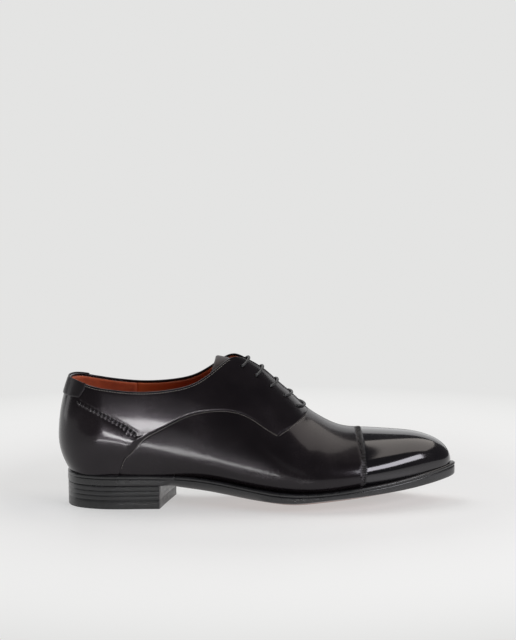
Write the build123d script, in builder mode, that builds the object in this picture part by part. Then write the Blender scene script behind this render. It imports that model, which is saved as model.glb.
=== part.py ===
from build123d import *
from math import asin, cos, pi, sin, sqrt
import os

# Leather oxford shoe, right foot, about EU 42. All lengths in mm.
# +X points to the toe, +Y to the inside (medial) of the foot, +Z up.
# The origin is on the ground under the middle of the heel.

# Driving dimensions
HEEL_AXIS = -8.0         # where the rounded heel joins the side walls
TOE_TIP = 256.5          # front of the upper
LEATHER = 1.3            # upper leather
BACKING = 0.8            # stiffeners, backers and lap margins
LINING = 1.0
TAB = 0.9                # heel tab laid over the quarters
LAP = 8.0                # width of the margin under a lapped seam
MARGIN = 13.0            # width of the lasting margin turned under the insole
INSOLE = 3.0
SOCK = 0.8
WELT = 2.3
FLEX_X = 158.0           # ball of the foot
SPLIT = 0.15             # half the gap between the two halves of the flexing sole
CAP_SEAM = 187.0
SEAT_Z = 17.7            # top of the heel stack
TOP_LIFT = 7.0
LIFTS = 3
BREAST_X = 40.5          # heel breast at the middle
LACE_R = 0.95
EYELET_R = 1.6
EYELET_FLANGE_R = 3.3
COUNTER_GAP = 0.03       # paste between the counter and the leather
NAIL_R = 0.9
NAIL_RING = 16.5         # the seat nails stand on a half circle of this radius
BACK_SPLIT = 0.05

MID = LEATHER + BACKING
WALL = MID + LINING
TONGUE_TOP = WALL + 3.7
TONGUE_BOTTOM = TONGUE_TOP + 1.4

# Eyelets, bottom to top, as (x, z) on the outside of the facings
EYELETS = [(138.7, 75.5), (129.0, 83.5), (118.0, 91.4), (107.0, 99.6), (96.5, 106.6)]


class Curve:
    """Natural cubic spline through (station, value) pairs."""

    def __init__(self, *pairs, warp=float):
        self.warp = warp
        self.x = [warp(p[0]) for p in pairs]
        self.y = [float(p[1]) for p in pairs]
        n = len(pairs)
        upper = [0.0] * n
        rhs = [0.0] * n
        for i in range(1, n - 1):
            before = self.x[i] - self.x[i - 1]
            after = self.x[i + 1] - self.x[i]
            slopes = (self.y[i + 1] - self.y[i]) / after - (self.y[i] - self.y[i - 1]) / before
            pivot = 2 * (before + after) - before * upper[i - 1]
            upper[i] = after / pivot
            rhs[i] = (6 * slopes - before * rhs[i - 1]) / pivot
        self.m = [0.0] * n
        for i in range(n - 2, 0, -1):
            self.m[i] = rhs[i] - upper[i] * self.m[i + 1]

    def __call__(self, station):
        v = self.warp(station)
        i = 0
        while i < len(self.x) - 2 and v > self.x[i + 1]:
            i += 1
        h = self.x[i + 1] - self.x[i]
        a = (self.x[i + 1] - v) / h
        b = (v - self.x[i]) / h
        bend = ((a**3 - a) * self.m[i] + (b**3 - b) * self.m[i + 1]) * h * h / 6
        return a * self.y[i] + b * self.y[i + 1] + bend


def toe_warp(x):
    ratio = (x - HEEL_AXIS) / (TOE_TIP - HEEL_AXIS)
    return asin(max(-1.0, min(1.0, ratio)))


# Shape of the last along x
feather = Curve((-50, 26), (-8, 26), (35, 25.5), (64, 23.8), (84, 21), (104, 17.8), (122, 15.5), (144, 14.8),
                (167, 16.4), (189, 18.8), (212, 21.5), (235, 25.2), (262, 30))
widest_z = Curve((-8, 52), (20, 49), (45, 43), (70, 35.5), (91, 30), (120, 25.5), (140, 23.8), (155, 24),
                 (175, 25), (195, 26.6), (215, 28.2), (232, 29.5), (245, 30.1), (256.5, 30.5))
ridge_y = Curve((-8, 0), (20, 0), (45, 0.3), (70, 1), (95, 2), (120, 3.5), (140, 5), (155, 6), (175, 7),
                (195, 7.7), (215, 8), (256.5, 8))
lateral_w = Curve((-8, 33.5), (20, 33.6), (45, 33.8), (70, 36.5), (95, 43), (120, 50), (140, 54), (155, 54.8),
                  (175, 52.5), (195, 47), (215, 38.6), (232, 28.7), (245, 19), (252, 12.2), (256.5, 0),
                  warp=toe_warp)
medial_w = Curve((-8, 33.5), (20, 33), (45, 31.4), (70, 30.8), (95, 33.2), (120, 38), (140, 41.7), (155, 42.8),
                 (175, 41), (195, 36.8), (215, 31), (232, 24.5), (245, 17), (252, 11.2), (256.5, 0),
                 warp=toe_warp)
height = Curve((-8, 78), (20, 80), (45, 83), (70, 85.5), (91, 86), (102, 82.1), (112, 77), (124.5, 67),
               (135, 58.5), (146, 48.2), (155.5, 41.3), (166, 35.3), (176, 31.9), (186, 30.3), (197, 28.9),
               (213, 26.6), (226, 24.2), (238, 20.5), (246, 16.6), (252, 11.6), (256.5, 0), warp=toe_warp)
pinch = Curve((-8, 0.03), (45, 0.02), (70, 0.03), (91, 0.08), (112, 0.2), (130, 0.28), (150, 0.28),
              (170, 0.17), (190, 0.1), (215, 0), (240, -0.12), (256.5, -0.15))
lateral_tuck = Curve((-8, 2.5), (45, 4), (70, 5.5), (95, 5.5), (120, 4.5), (155, 3), (195, 2), (230, 1), (256.5, 0))
medial_tuck = Curve((-8, 2.5), (45, 6), (70, 8.5), (95, 8), (120, 6), (155, 3.5), (195, 2), (230, 1), (256.5, 0))

HEEL_STATIONS = [-43.6, -42.6, -40, -35, -28, -19]
STATIONS = [-8, 8, 25, 45, 65, 85, 100, 115, 130, 145, 160, 175, 190, 205, 218, 230, 240, 247, 252, 255, 256.3]
RISE_STEPS = 8
LOW_STEPS = (0.35, 0.7, 1.0, 1.3)
FINE_STEPS = 200
BELOW = 12.0             # the last carries on this far under the feather line
TOE_ROUND = 66.5         # length of the toe over which an inset turns from sideways to lengthways


def toe_inset(x, inset):
    """How much of an inset at x is lengthways, and how much sideways."""
    along = max(0.0, (x - (TOE_TIP - TOE_ROUND)) / TOE_ROUND) ** 2
    return inset * along, inset * sqrt(max(0.0, 1 - along * along))


def wall_point(x, rise, side, inset):
    """Point on the last's wall above its widest line; rise runs from 0 to pi/2 at the ridge."""
    along, across = toe_inset(x, inset)
    w = (lateral_w(x) if side < 0 else medial_w(x)) - across
    y = ridge_y(x) + side * w * cos(rise) * (1 - pinch(x) * sin(rise) ** 2)
    z = widest_z(x) + (height(x) - across) * sin(rise)
    return (x - along, y, z)


def body_section(x, inset):
    across = toe_inset(x, inset)[1]
    top, drop = widest_z(x), widest_z(x) - feather(x)
    left, right = [], []
    for side, column in ((-1, left), (1, right)):
        for step in range(RISE_STEPS - 1, -1, -1):
            p = wall_point(x, step * pi / 2 / RISE_STEPS, side, inset)
            column.append((p[1], p[2]))
        w = (lateral_w(x) if side < 0 else medial_w(x)) - across
        tuck = lateral_tuck(x) if side < 0 else medial_tuck(x)
        for q in LOW_STEPS:
            column.append((ridge_y(x) + side * (w - tuck * q * q), top - drop * q))
    crown = (ridge_y(x), top + height(x) - across)
    return [crown] + left + [(ridge_y(x), feather(x) - BELOW)] + right[::-1]


def heel_radii(z, inset):
    """Half width and half length of the rounded heel at height z."""
    top = widest_z(HEEL_AXIS)
    if z >= top:
        s = min(1.0, (z - top) / (height(HEEL_AXIS) - inset))
        c = sqrt(1 - s * s)
        return (33.5 - inset) * c * (1 - 0.03 * s * s), c * (36 - inset - 6 * s * s)
    q = (top - z) / (top - feather(HEEL_AXIS))
    return 33.5 - inset - 2.5 * q * q, 36 - inset - 8 * q * q


def heel_limit(back, inset, far):
    """Height towards far at which the heel is just as long as back."""
    near = widest_z(HEEL_AXIS)
    if heel_radii(far, inset)[1] > back:
        return far
    for _ in range(50):
        middle = (near + far) / 2
        if heel_radii(middle, inset)[1] > back:
            near = middle
        else:
            far = middle
    return near


def heel_section(x, inset):
    back = HEEL_AXIS - x
    start = widest_z(HEEL_AXIS)
    top = heel_limit(back, inset, start + height(HEEL_AXIS) - inset)
    bottom = heel_limit(back, inset, feather(HEEL_AXIS) - BELOW)
    outline = []
    for step in range(FINE_STEPS + 1):
        z = (top + bottom) / 2 + (top - bottom) / 2 * cos(step * pi / FINE_STEPS)
        wide, long = heel_radii(z, inset)
        outline.append((-wide * max(0.0, 1 - (back / long) ** 2.15) ** (1 / 2.15), z))
    outline[0] = (0, top)
    outline.append((0, bottom))
    half = len(KNOTS) // 2
    side = spaced(outline, [k / KNOTS[half] for k in KNOTS[:half + 1]])
    return side + [(-y, z) for y, z in side[-2:0:-1]]


def spaced(points, fractions):
    """Points along a polyline at the given fractions of its length."""
    lengths = [0.0]
    for (y0, z0), (y1, z1) in zip(points, points[1:]):
        lengths.append(lengths[-1] + sqrt((y1 - y0) ** 2 + (z1 - z0) ** 2))
    found = []
    i = 0
    for fraction in fractions:
        target = min(fraction, 1.0) * lengths[-1]
        while i < len(points) - 2 and lengths[i + 1] < target:
            i += 1
        t = (target - lengths[i]) / (lengths[i + 1] - lengths[i])
        (y0, z0), (y1, z1) = points[i], points[i + 1]
        found.append((y0 + (y1 - y0) * t, z0 + (z1 - z0) * t))
    return found


def section_knots():
    """Spacing of the points round a section, the same for every section so that the loft stays light."""
    points = body_section(45, 0)
    knots = [0.0]
    for (y0, z0), (y1, z1) in zip(points, points[1:] + points[:1]):
        knots.append(knots[-1] + sqrt((y1 - y0) ** 2 + (z1 - z0) ** 2))
    return [k / knots[-1] for k in knots]


KNOTS = section_knots()


FEATHER_STATIONS = [-60, -30, 0, 35, 64, 84, 104, 122, 144, 167, 189, 212, 235, 262]
REACH = 90.0             # half depth of the prisms that run right across the shoe


def feather_slab(low, high, start=-60.0, end=262.0):
    """Curved slab between the feather line moved by low and by high, from start to end along x."""
    with BuildPart() as sheet:
        with BuildSketch(Plane.XZ):
            with BuildLine():
                top = Spline(*[(x, feather(x) + high) for x in FEATHER_STATIONS])
                bottom = Spline(*[(x, feather(x) + low) for x in FEATHER_STATIONS])
                Line(top @ 0, bottom @ 0)
                Line(top @ 1, bottom @ 1)
            make_face()
        extrude(amount=REACH, both=True)
        if start > FEATHER_STATIONS[0]:
            split(bisect_by=Plane.YZ.offset(start), keep=Keep.TOP)
        if end < FEATHER_STATIONS[-1]:
            split(bisect_by=Plane.YZ.offset(end), keep=Keep.BOTTOM)
    return sheet.part


def last(inset, floor=True):
    """The last with its walls moved inwards by inset, and its floor raised as much if it has one."""
    sections = []
    shrink = (36 - inset) / 36
    for x in HEEL_STATIONS:
        at = HEEL_AXIS - (HEEL_AXIS - x) * shrink
        sections.append((at, heel_section(at, inset)))
    for x in STATIONS:
        sections.append((x - toe_inset(x, inset)[0], body_section(x, inset)))
    with BuildPart() as body:
        for at, points in sections:
            with BuildSketch(Plane.YZ.offset(at)):
                with BuildLine():
                    add(Edge.make_spline([Vector(*p) for p in points], periodic=True, parameters=KNOTS))
                make_face()
        loft()
        if floor:
            add(feather_slab(-60, inset), mode=Mode.SUBTRACT)
    return body.part


def side_prism(*outline):
    """A prism across the shoe from an outline in side view."""
    with BuildPart() as prism:
        with BuildSketch(Plane.XZ):
            with BuildLine():
                Polyline(*outline, close=True)
            make_face()
        extrude(amount=90, both=True)
    return prism.part


# Solids bounded by each face of the upper's layers
over = last(-TAB)
skin = last(0)
under_leather = last(LEATHER)
under_backing = last(MID)
cavity = last(WALL)
inside_margin = last(MARGIN, floor=False)


def layer(outer, inner, hollow=inside_margin):
    """One layer of the upper, with its margin turned in under the insole."""
    with BuildPart() as shell:
        add(outer)
        add(inner, mode=Mode.SUBTRACT)
        add(hollow, mode=Mode.SUBTRACT)
    return shell.part


leather_layer = layer(skin, under_leather)
backing_layer = layer(under_leather, under_backing)
lining_layer = layer(under_backing, cavity)

# Side view outlines of the pattern
SEAM = [(1, 14), (4, 30), (11, 42.5), (19, 51.8), (32, 60.5), (52, 70.6), (73, 75.6), (83, 76),
        (93.6, 74.5), (106, 69), (116, 62.4), (123.5, 58)]
TOPLINE = [(-60, 97.5), (-34, 97.5), (-20, 94.4), (1, 90.8), (17, 89.6), (32, 90), (46, 91.7),
           (60.6, 95.8), (73, 103.4), (81, 110.2), (88, 115.5)]
FACING_END = (146, 70.5)
HOLD = 3.0               # how far a lap is joined to its own panel behind the seam


def side_prism(*outline):
    """A prism right across the shoe from an outline in side view."""
    with BuildPart() as prism:
        with BuildSketch(Plane.XZ):
            with BuildLine():
                Polyline(*outline, close=True)
            make_face()
        extrude(amount=REACH, both=True)
    return prism.part


def below_seam(lap):
    """Side view region of the vamp, made smaller by lap."""
    moved = []
    for i, (x, z) in enumerate(SEAM):
        ahead, behind = SEAM[min(i + 1, len(SEAM) - 1)], SEAM[max(i - 1, 0)]
        dx, dz = ahead[0] - behind[0], ahead[1] - behind[1]
        size = sqrt(dx * dx + dz * dz)
        moved.append((x + lap * dz / size, z - lap * dx / size))
    end = (FACING_END[0] + lap, FACING_END[1] - lap * 0.3)
    with BuildPart() as region:
        with BuildSketch(Plane.XZ):
            with BuildLine():
                curve = Spline(*moved)
                Polyline(curve @ 1, end, (end[0] + 1, 140), (300, 140), (300, -30), (1 + lap, -30), curve @ 0)
            make_face()
        extrude(amount=REACH, both=True)
    return region.part


def cap_region(x):
    """Side view region in front of the curved cap seam."""
    with BuildPart() as region:
        with BuildSketch(Plane.XZ):
            with BuildLine():
                ThreePointArc((x - 3, 80), (x + 2.5, 36), (x, -20))
                Polyline((x, -20), (300, -20), (300, 80), (x - 3, 80))
            make_face()
        extrude(amount=REACH, both=True)
    return region.part


def above_topline():
    with BuildPart() as region:
        with BuildSketch(Plane.XZ):
            with BuildLine():
                line = Spline(*TOPLINE)
                Polyline(line @ 1, (91, 150), (-60, 150), line @ 0)
            make_face()
        extrude(amount=REACH, both=True)
    return region.part


def gap_wedge():
    """The opening between the facings, seen from above."""
    with BuildPart() as wedge:
        with BuildSketch(Plane.XY):
            with BuildLine():
                Polyline((148, 5), (147, 4.5), (84, -6), (84, 9), (147, 6.3), close=True)
            make_face()
        extrude(amount=150)
    return wedge.part


vamp_region = below_seam(0)
vamp_wide = below_seam(-HOLD)
vamp_core = below_seam(LAP)
cap_front = cap_region(CAP_SEAM)
cap_wide = cap_region(CAP_SEAM - HOLD)
cap_core = cap_region(CAP_SEAM + LAP)
mouth = above_topline()
gap = gap_wedge()
counter_region = side_prism((-60, 78), (-10, 76), (20, 62), (44, 45), (50, 20), (50, -20), (-60, -20))
lining_front = side_prism((112, -20), (120, 30), (150, 62), (151, 140), (300, 140), (300, -20))
grip_region = side_prism((-60, 140), (-22, 140), (-18, 80), (-8, 45), (-4, -20), (-60, -20))
tab_region = side_prism((-60, 84.6), (-33, 84.6), (-29.5, 86), (-28, 89), (-25, 99), (-60, 99))
lateral_half = Pos(100, -100 - BACK_SPLIT, 60) * Box(500, 200, 300)
medial_half = Pos(100, 100 + BACK_SPLIT, 60) * Box(500, 200, 300)


def eyelet_frame(index, side):
    """Centre and outward normal of an eyelet on the facing, and how far up the wall it is."""
    x, z = EYELETS[index]
    rise = asin((z - widest_z(x)) / height(x))
    along = Vector(*wall_point(x + 0.5, rise, side, 0)) - Vector(*wall_point(x - 0.5, rise, side, 0))
    up = Vector(*wall_point(x, rise + 0.02, side, 0)) - Vector(*wall_point(x, rise - 0.02, side, 0))
    normal = along.cross(up).normalized()
    if normal.Z < 0:
        normal = -normal
    return Vector(*wall_point(x, rise, side, 0)), normal, rise


def eyelet_pins(radius):
    """Pins through every eyelet."""
    with BuildPart() as pins:
        for index in range(len(EYELETS)):
            for side in (-1, 1):
                centre, normal, _ = eyelet_frame(index, side)
                with Locations(Plane(origin=centre, z_dir=normal)):
                    Cylinder(radius, 16)
    return pins.part


holes = eyelet_pins(EYELET_R)
flanges = eyelet_pins(EYELET_FLANGE_R)


def save(body, name):
    body.label = name
    export_step(body, f"parts/{name}.step")


os.makedirs("parts", exist_ok=True)

# Upper leather
with BuildPart() as toe_cap:
    add(leather_layer)
    add(cap_front, mode=Mode.INTERSECT)
save(toe_cap.part, "toe_cap")

with BuildPart() as vamp_lap:
    add(backing_layer)
    add(cap_wide, mode=Mode.INTERSECT)
    add(cap_core, mode=Mode.SUBTRACT)

with BuildPart() as vamp:
    add(leather_layer)
    add(vamp_region, mode=Mode.INTERSECT)
    add(cap_front, mode=Mode.SUBTRACT)
    add(vamp_lap.part)
save(vamp.part, "vamp")


def quarter(half):
    """One quarter, with the skived margin that runs on under the vamp."""
    with BuildPart() as lap:
        add(backing_layer)
        add(vamp_wide, mode=Mode.INTERSECT)
        add(vamp_core, mode=Mode.SUBTRACT)
        add(counter_region, mode=Mode.SUBTRACT)
        add(gap, mode=Mode.SUBTRACT)
        add(half, mode=Mode.INTERSECT)
    with BuildPart() as panel:
        add(leather_layer)
        add(vamp_region, mode=Mode.SUBTRACT)
        add(mouth, mode=Mode.SUBTRACT)
        add(gap, mode=Mode.SUBTRACT)
        add(half, mode=Mode.INTERSECT)
        add(holes, mode=Mode.SUBTRACT)
        add(lap.part)
    return panel.part


save(quarter(lateral_half), "lateral_quarter")
save(quarter(medial_half), "medial_quarter")

with BuildPart() as heel_tab:
    add(over)
    add(skin, mode=Mode.SUBTRACT)
    add(tab_region, mode=Mode.INTERSECT)
    add(mouth, mode=Mode.SUBTRACT)
save(heel_tab.part, "heel_tab")

# Layers between the leather and the lining
with BuildPart() as toe_puff:
    add(backing_layer)
    add(cap_core, mode=Mode.INTERSECT)
save(toe_puff.part, "toe_puff")

with BuildPart() as heel_counter:
    add(layer(last(LEATHER + COUNTER_GAP), under_backing))
    add(counter_region, mode=Mode.INTERSECT)
save(heel_counter.part, "heel_counter")

with BuildPart() as vamp_backer:
    add(backing_layer)
    add(vamp_core, mode=Mode.INTERSECT)
    add(counter_region, mode=Mode.SUBTRACT)
    add(cap_wide, mode=Mode.SUBTRACT)
save(vamp_backer.part, "vamp_backer")


def quarter_backer(half):
    with BuildPart() as backer:
        add(backing_layer)
        add(vamp_wide, mode=Mode.SUBTRACT)
        add(counter_region, mode=Mode.SUBTRACT)
        add(mouth, mode=Mode.SUBTRACT)
        add(gap, mode=Mode.SUBTRACT)
        add(half, mode=Mode.INTERSECT)
        add(flanges, mode=Mode.SUBTRACT)
    return backer.part


save(quarter_backer(lateral_half), "lateral_quarter_backer")
save(quarter_backer(medial_half), "medial_quarter_backer")

with BuildPart() as blind_eyelets:
    add(backing_layer)
    add(flanges, mode=Mode.INTERSECT)
    add(holes, mode=Mode.SUBTRACT)
save(blind_eyelets.part, "blind_eyelets")

# Linings
with BuildPart() as vamp_lining:
    add(lining_layer)
    add(lining_front, mode=Mode.INTERSECT)
save(vamp_lining.part, "vamp_lining")

with BuildPart() as heel_grip:
    add(lining_layer)
    add(grip_region, mode=Mode.INTERSECT)
    add(mouth, mode=Mode.SUBTRACT)
save(heel_grip.part, "heel_grip")


def quarter_lining(half):
    with BuildPart() as panel:
        add(lining_layer)
        add(lining_front, mode=Mode.SUBTRACT)
        add(grip_region, mode=Mode.SUBTRACT)
        add(mouth, mode=Mode.SUBTRACT)
        add(gap, mode=Mode.SUBTRACT)
        add(half, mode=Mode.INTERSECT)
        add(holes, mode=Mode.SUBTRACT)
    return panel.part


save(quarter_lining(lateral_half), "lateral_quarter_lining")
save(quarter_lining(medial_half), "medial_quarter_lining")

# Tongue, stitched to the vamp lining at its root
TONGUE_ROOT = 156.0
TONGUE_PAD = 7.0
with BuildPart() as tongue_plan:
    with BuildSketch(Plane.XY):
        with BuildLine():
            ThreePointArc((94, -25), (75.5, 1.5), (94, 28))
            Polyline((94, 28), (TONGUE_ROOT, 14), (TONGUE_ROOT, -2), (94, -25))
        make_face()
    extrude(amount=150)
tongue_top = last(TONGUE_TOP)
tongue_middle = last(TONGUE_BOTTOM)
above_foot = Pos(100, 0, 105) * Box(400, 100, 100)

with BuildPart() as tongue_pad:
    add(cavity)
    add(tongue_top, mode=Mode.SUBTRACT)
    add(tongue_plan.part, mode=Mode.INTERSECT)
    add(Pos(TONGUE_ROOT, 0, 100) * Box(2 * TONGUE_PAD, 100, 100), mode=Mode.INTERSECT)

with BuildPart() as tongue:
    add(layer(tongue_top, tongue_middle))
    add(tongue_plan.part, mode=Mode.INTERSECT)
    add(above_foot, mode=Mode.INTERSECT)
    add(tongue_pad.part)
save(tongue.part, "tongue")

with BuildPart() as tongue_lining:
    add(layer(tongue_middle, last(TONGUE_BOTTOM + 0.8)))
    add(tongue_plan.part, mode=Mode.INTERSECT)
    add(above_foot, mode=Mode.INTERSECT)
save(tongue_lining.part, "tongue_lining")

# Lace: straight bars over the facings, crossing under them from one eyelet to the next
OUTSIDE = 1.35                           # height of the lace's middle above the facings at an eyelet
BAR_LIFT = 2.1                           # and over the opening, measured like an inset
LACE_LEVEL = (WALL + TONGUE_TOP) / 2 - 0.1     # under the facings it runs between lining and tongue
BAR_STEPS = 6
END_LENGTH = 3.0
AGLET_R = 0.9
AGLET_LENGTH = 8.0
FIRST_END = (130, 75.5)                  # where the tucked ends head, in side view
LAST_END = (86, 98)


def lace_entry(index, side):
    """The lace's middle below and above an eyelet, and how far up the wall the eyelet is."""
    centre, normal, rise = eyelet_frame(index, side)
    deep = centre - Vector(*wall_point(EYELETS[index][0], rise, side, LACE_LEVEL))
    return centre - normal * deep.dot(normal), centre + normal * OUTSIDE, rise


def lace_bar(index, start_side):
    """Points from inside one eyelet, out, over the facings, and in at the other."""
    below, above, rise = lace_entry(index, start_side)
    points = [below, above]
    for step in range(1, BAR_STEPS):
        turn = rise + (pi - 2 * rise) * step / BAR_STEPS
        side = start_side if turn < pi / 2 else -start_side
        points.append(Vector(*wall_point(EYELETS[index][0], min(turn, pi - turn), side, -BAR_LIFT)))
    below, above, rise = lace_entry(index, -start_side)
    return points + [above, below]


def lace_end(last_point, aim, side):
    """Where a tucked end of the lace stops, on its way to a point at the same level."""
    x, z = aim
    rise = asin((z - widest_z(x)) / (height(x) - LACE_LEVEL))
    heading = Vector(*wall_point(x, rise, side, LACE_LEVEL)) - last_point
    return last_point + heading.normalized() * END_LENGTH


lace_points = []
bar_side = -1
for bar in range(len(EYELETS)):
    lace_points += lace_bar(bar, bar_side)
    bar_side = -bar_side
first_end = lace_end(lace_points[0], FIRST_END, -1)
last_end = lace_end(lace_points[-1], LAST_END, 1)
lace_points = [first_end] + lace_points + [last_end]

with BuildPart() as lace:
    with BuildLine() as lace_path:
        Polyline(*lace_points)
    with BuildSketch(Plane(origin=lace_points[0], z_dir=lace_points[1] - lace_points[0])):
        Circle(LACE_R)
    sweep(transition=Transition.RIGHT)
save(lace.part, "lace")

with BuildPart() as lace_aglets:
    for end, before in ((first_end, lace_points[1]), (last_end, lace_points[-2])):
        with Locations(Plane(origin=end, z_dir=end - before)):
            Cylinder(AGLET_R, AGLET_LENGTH, align=(Align.CENTER, Align.CENTER, Align.MIN))
save(lace_aglets.part, "lace_aglets")

# Sole, seen from above and from the side
SOLE_PLAN = [(-37.4, 0), (-32, -20), (-10, -32.3), (20, -32.4), (50, -32.4), (80, -36.5), (110, -45), (135, -50),
             (160, -50), (185, -45.5), (210, -36), (235, -21), (250, -8), (259.8, 8), (251, 20), (230, 31),
             (205, 42), (180, 49), (155, 50.5), (135, 46.5), (110, 36), (80, 26.5), (50, 27), (20, 31.4),
             (-10, 32.3), (-32, 20)]
sole_bottom = Curve((30, 17.7), (40, 17), (48, 15.5), (73, 10.5), (94, 6.3), (114, 2.5), (135, 0), (155, 1.2),
                    (178, 4), (200, 7.6), (223, 12.2), (240, 16), (262, 20.5))
crown = Curve((30, 0.0001), (48, 0.001), (64, 0.0025), (94, 0.0029), (135, 0.0031), (262, 0.0034))
SEAT_END = 38.0
SOLE_STATIONS = [SEAT_END, 48, 60, 73, 94, 114, 135, 155, 178, 200, 223, 240, 262]
RING = 12.0              # width of the welt


def sole_outline(inset):
    """Points of the sole's outline, moved inwards by inset."""
    moved = []
    for i, (x, y) in enumerate(SOLE_PLAN):
        x0, y0 = SOLE_PLAN[i - 1]
        x1, y1 = SOLE_PLAN[(i + 1) % len(SOLE_PLAN)]
        size = sqrt((x1 - x0) ** 2 + (y1 - y0) ** 2)
        moved.append((x - inset * (y1 - y0) / size, y + inset * (x1 - x0) / size))
    return moved


def plan_prism(inset=0.0):
    """Upright prism on the outline of the sole."""
    with BuildPart() as prism:
        with BuildSketch(Plane.XY.offset(-10)):
            with BuildLine():
                Spline(*sole_outline(inset), periodic=True)
            make_face()
        extrude(amount=70)
    return prism.part


def under_sole():
    """Everything under the curved bottom of the sole."""
    with BuildPart() as below:
        for x in SOLE_STATIONS:
            with BuildSketch(Plane.YZ.offset(x)):
                with BuildLine():
                    edge = sole_bottom(x) + crown(x) * 70**2
                    ThreePointArc((-70, edge), (0, sole_bottom(x)), (70, edge))
                    Polyline((70, edge), (70, -20), (-70, -20), (-70, edge))
                make_face()
        loft()
        add(side_prism((-60, -20), (-60, SEAT_Z), (28, SEAT_Z), (SEAT_END + 0.01, sole_bottom(SEAT_END)),
                       (SEAT_END + 0.01, -20)))
    return below.part


def welt_ring():
    """Upright ring as wide as the welt, on the outline of the sole."""
    with BuildPart() as ring:
        with BuildSketch(Plane.XY.offset(-10)):
            with BuildLine():
                Spline(*sole_outline(0), periodic=True)
            make_face()
            with BuildLine():
                Spline(*sole_outline(RING), periodic=True)
            make_face(mode=Mode.SUBTRACT)
        extrude(amount=70)
    return ring.part


REAR_END = FLEX_X - SPLIT
FORE_START = FLEX_X + SPLIT
WELT_START = 45.0
ground_side = under_sole()

NAIL_TOP = feather(-20) + WALL + INSOLE
NAIL_BOTTOM = 3.0
with BuildPart() as heel_nails:
    with Locations((-4, 0, NAIL_BOTTOM)):
        with PolarLocations(NAIL_RING, 6, start_angle=90, angular_range=180, endpoint=True):
            Cylinder(NAIL_R, NAIL_TOP - 0.2 - NAIL_BOTTOM, align=(Align.CENTER, Align.CENTER, Align.MIN))
save(heel_nails.part, "heel_nails")

with BuildPart() as outsole_rear:
    add(plan_prism())
    add(feather_slab(-60, -WELT, end=REAR_END), mode=Mode.INTERSECT)
    add(ground_side, mode=Mode.SUBTRACT)
    add(heel_nails.part, mode=Mode.SUBTRACT)
save(outsole_rear.part, "outsole_rear")
with BuildPart() as outsole_forepart:
    add(plan_prism())
    add(feather_slab(-60, -WELT, start=FORE_START), mode=Mode.INTERSECT)
    add(ground_side, mode=Mode.SUBTRACT)
save(outsole_forepart.part, "outsole_forepart")


def welt_piece(start, end):
    with BuildPart() as piece:
        add(welt_ring())
        add(feather_slab(-WELT, 0, start, end), mode=Mode.INTERSECT)
    return piece.part


save(welt_piece(-60, WELT_START), "seat_rand")
save(welt_piece(WELT_START, REAR_END), "welt_rear")
save(welt_piece(FORE_START, 262), "welt_forepart")

# Insole, shank and filler
with BuildPart() as insole_rear:
    add(cavity)
    add(feather_slab(0, WALL + INSOLE, end=REAR_END), mode=Mode.INTERSECT)
    add(heel_nails.part, mode=Mode.SUBTRACT)
save(insole_rear.part, "insole_rear")
with BuildPart() as insole_forepart:
    add(cavity)
    add(feather_slab(0, WALL + INSOLE, start=FORE_START), mode=Mode.INTERSECT)
save(insole_forepart.part, "insole_forepart")

with BuildPart() as heel_sock:
    add(cavity)
    add(feather_slab(WALL + INSOLE, WALL + INSOLE + SOCK, end=70), mode=Mode.INTERSECT)
save(heel_sock.part, "heel_sock")

SHANK_WIDTH = 13.0
with BuildPart() as shank:
    with BuildSketch(Plane.XY):
        with Locations((58, -2)):
            SlotOverall(112, SHANK_WIDTH)
    extrude(amount=60)
    add(feather_slab(-1.4, -0.2), mode=Mode.INTERSECT)
save(shank.part, "shank")


def filler(start, end):
    """Filler between the insole and the outsole, inside the welt and the lasting margins."""
    with BuildPart() as between_welts:
        add(plan_prism(RING))
        add(feather_slab(-WELT, 0, start, end), mode=Mode.INTERSECT)
    with BuildPart() as filled:
        add(inside_margin)
        add(feather_slab(0, WALL, start, end), mode=Mode.INTERSECT)
        add(between_welts.part)
    return filled.part


with BuildPart() as waist_filler:
    add(filler(-60, REAR_END))
    add(shank.part, mode=Mode.SUBTRACT)
    add(heel_nails.part, mode=Mode.SUBTRACT)
save(waist_filler.part, "waist_filler")
save(filler(FORE_START, 262), "cork_filler")

# Heel: lifts built up under the seat of the outsole
HEEL_INSETS = (0.4, 0.7, 0.9, 1.1)
LIFT_THICKNESS = (SEAT_Z - TOP_LIFT) / LIFTS


def heel_layer(inset, bottom, top):
    with BuildPart() as lift:
        with BuildSketch(Plane.XY.offset(bottom)):
            with BuildLine():
                Spline(*sole_outline(inset), periodic=True)
            make_face()
            with BuildLine():
                ThreePointArc((BREAST_X - 10.5, -60), (BREAST_X, 0), (BREAST_X + 13.5, 60))
                Polyline((BREAST_X + 13.5, 60), (-60, 60), (-60, -60), (BREAST_X - 10.5, -60))
            make_face(mode=Mode.INTERSECT)
        extrude(amount=top - bottom)
        add(outsole_rear.part, mode=Mode.SUBTRACT)
        add(heel_nails.part, mode=Mode.SUBTRACT)
    return lift.part


for number in range(LIFTS):
    high = SEAT_Z - number * LIFT_THICKNESS
    save(heel_layer(HEEL_INSETS[number], high - LIFT_THICKNESS, high), f"heel_lift_{number + 1}")
save(heel_layer(HEEL_INSETS[-1], 0, TOP_LIFT), "top_lift")
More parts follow.
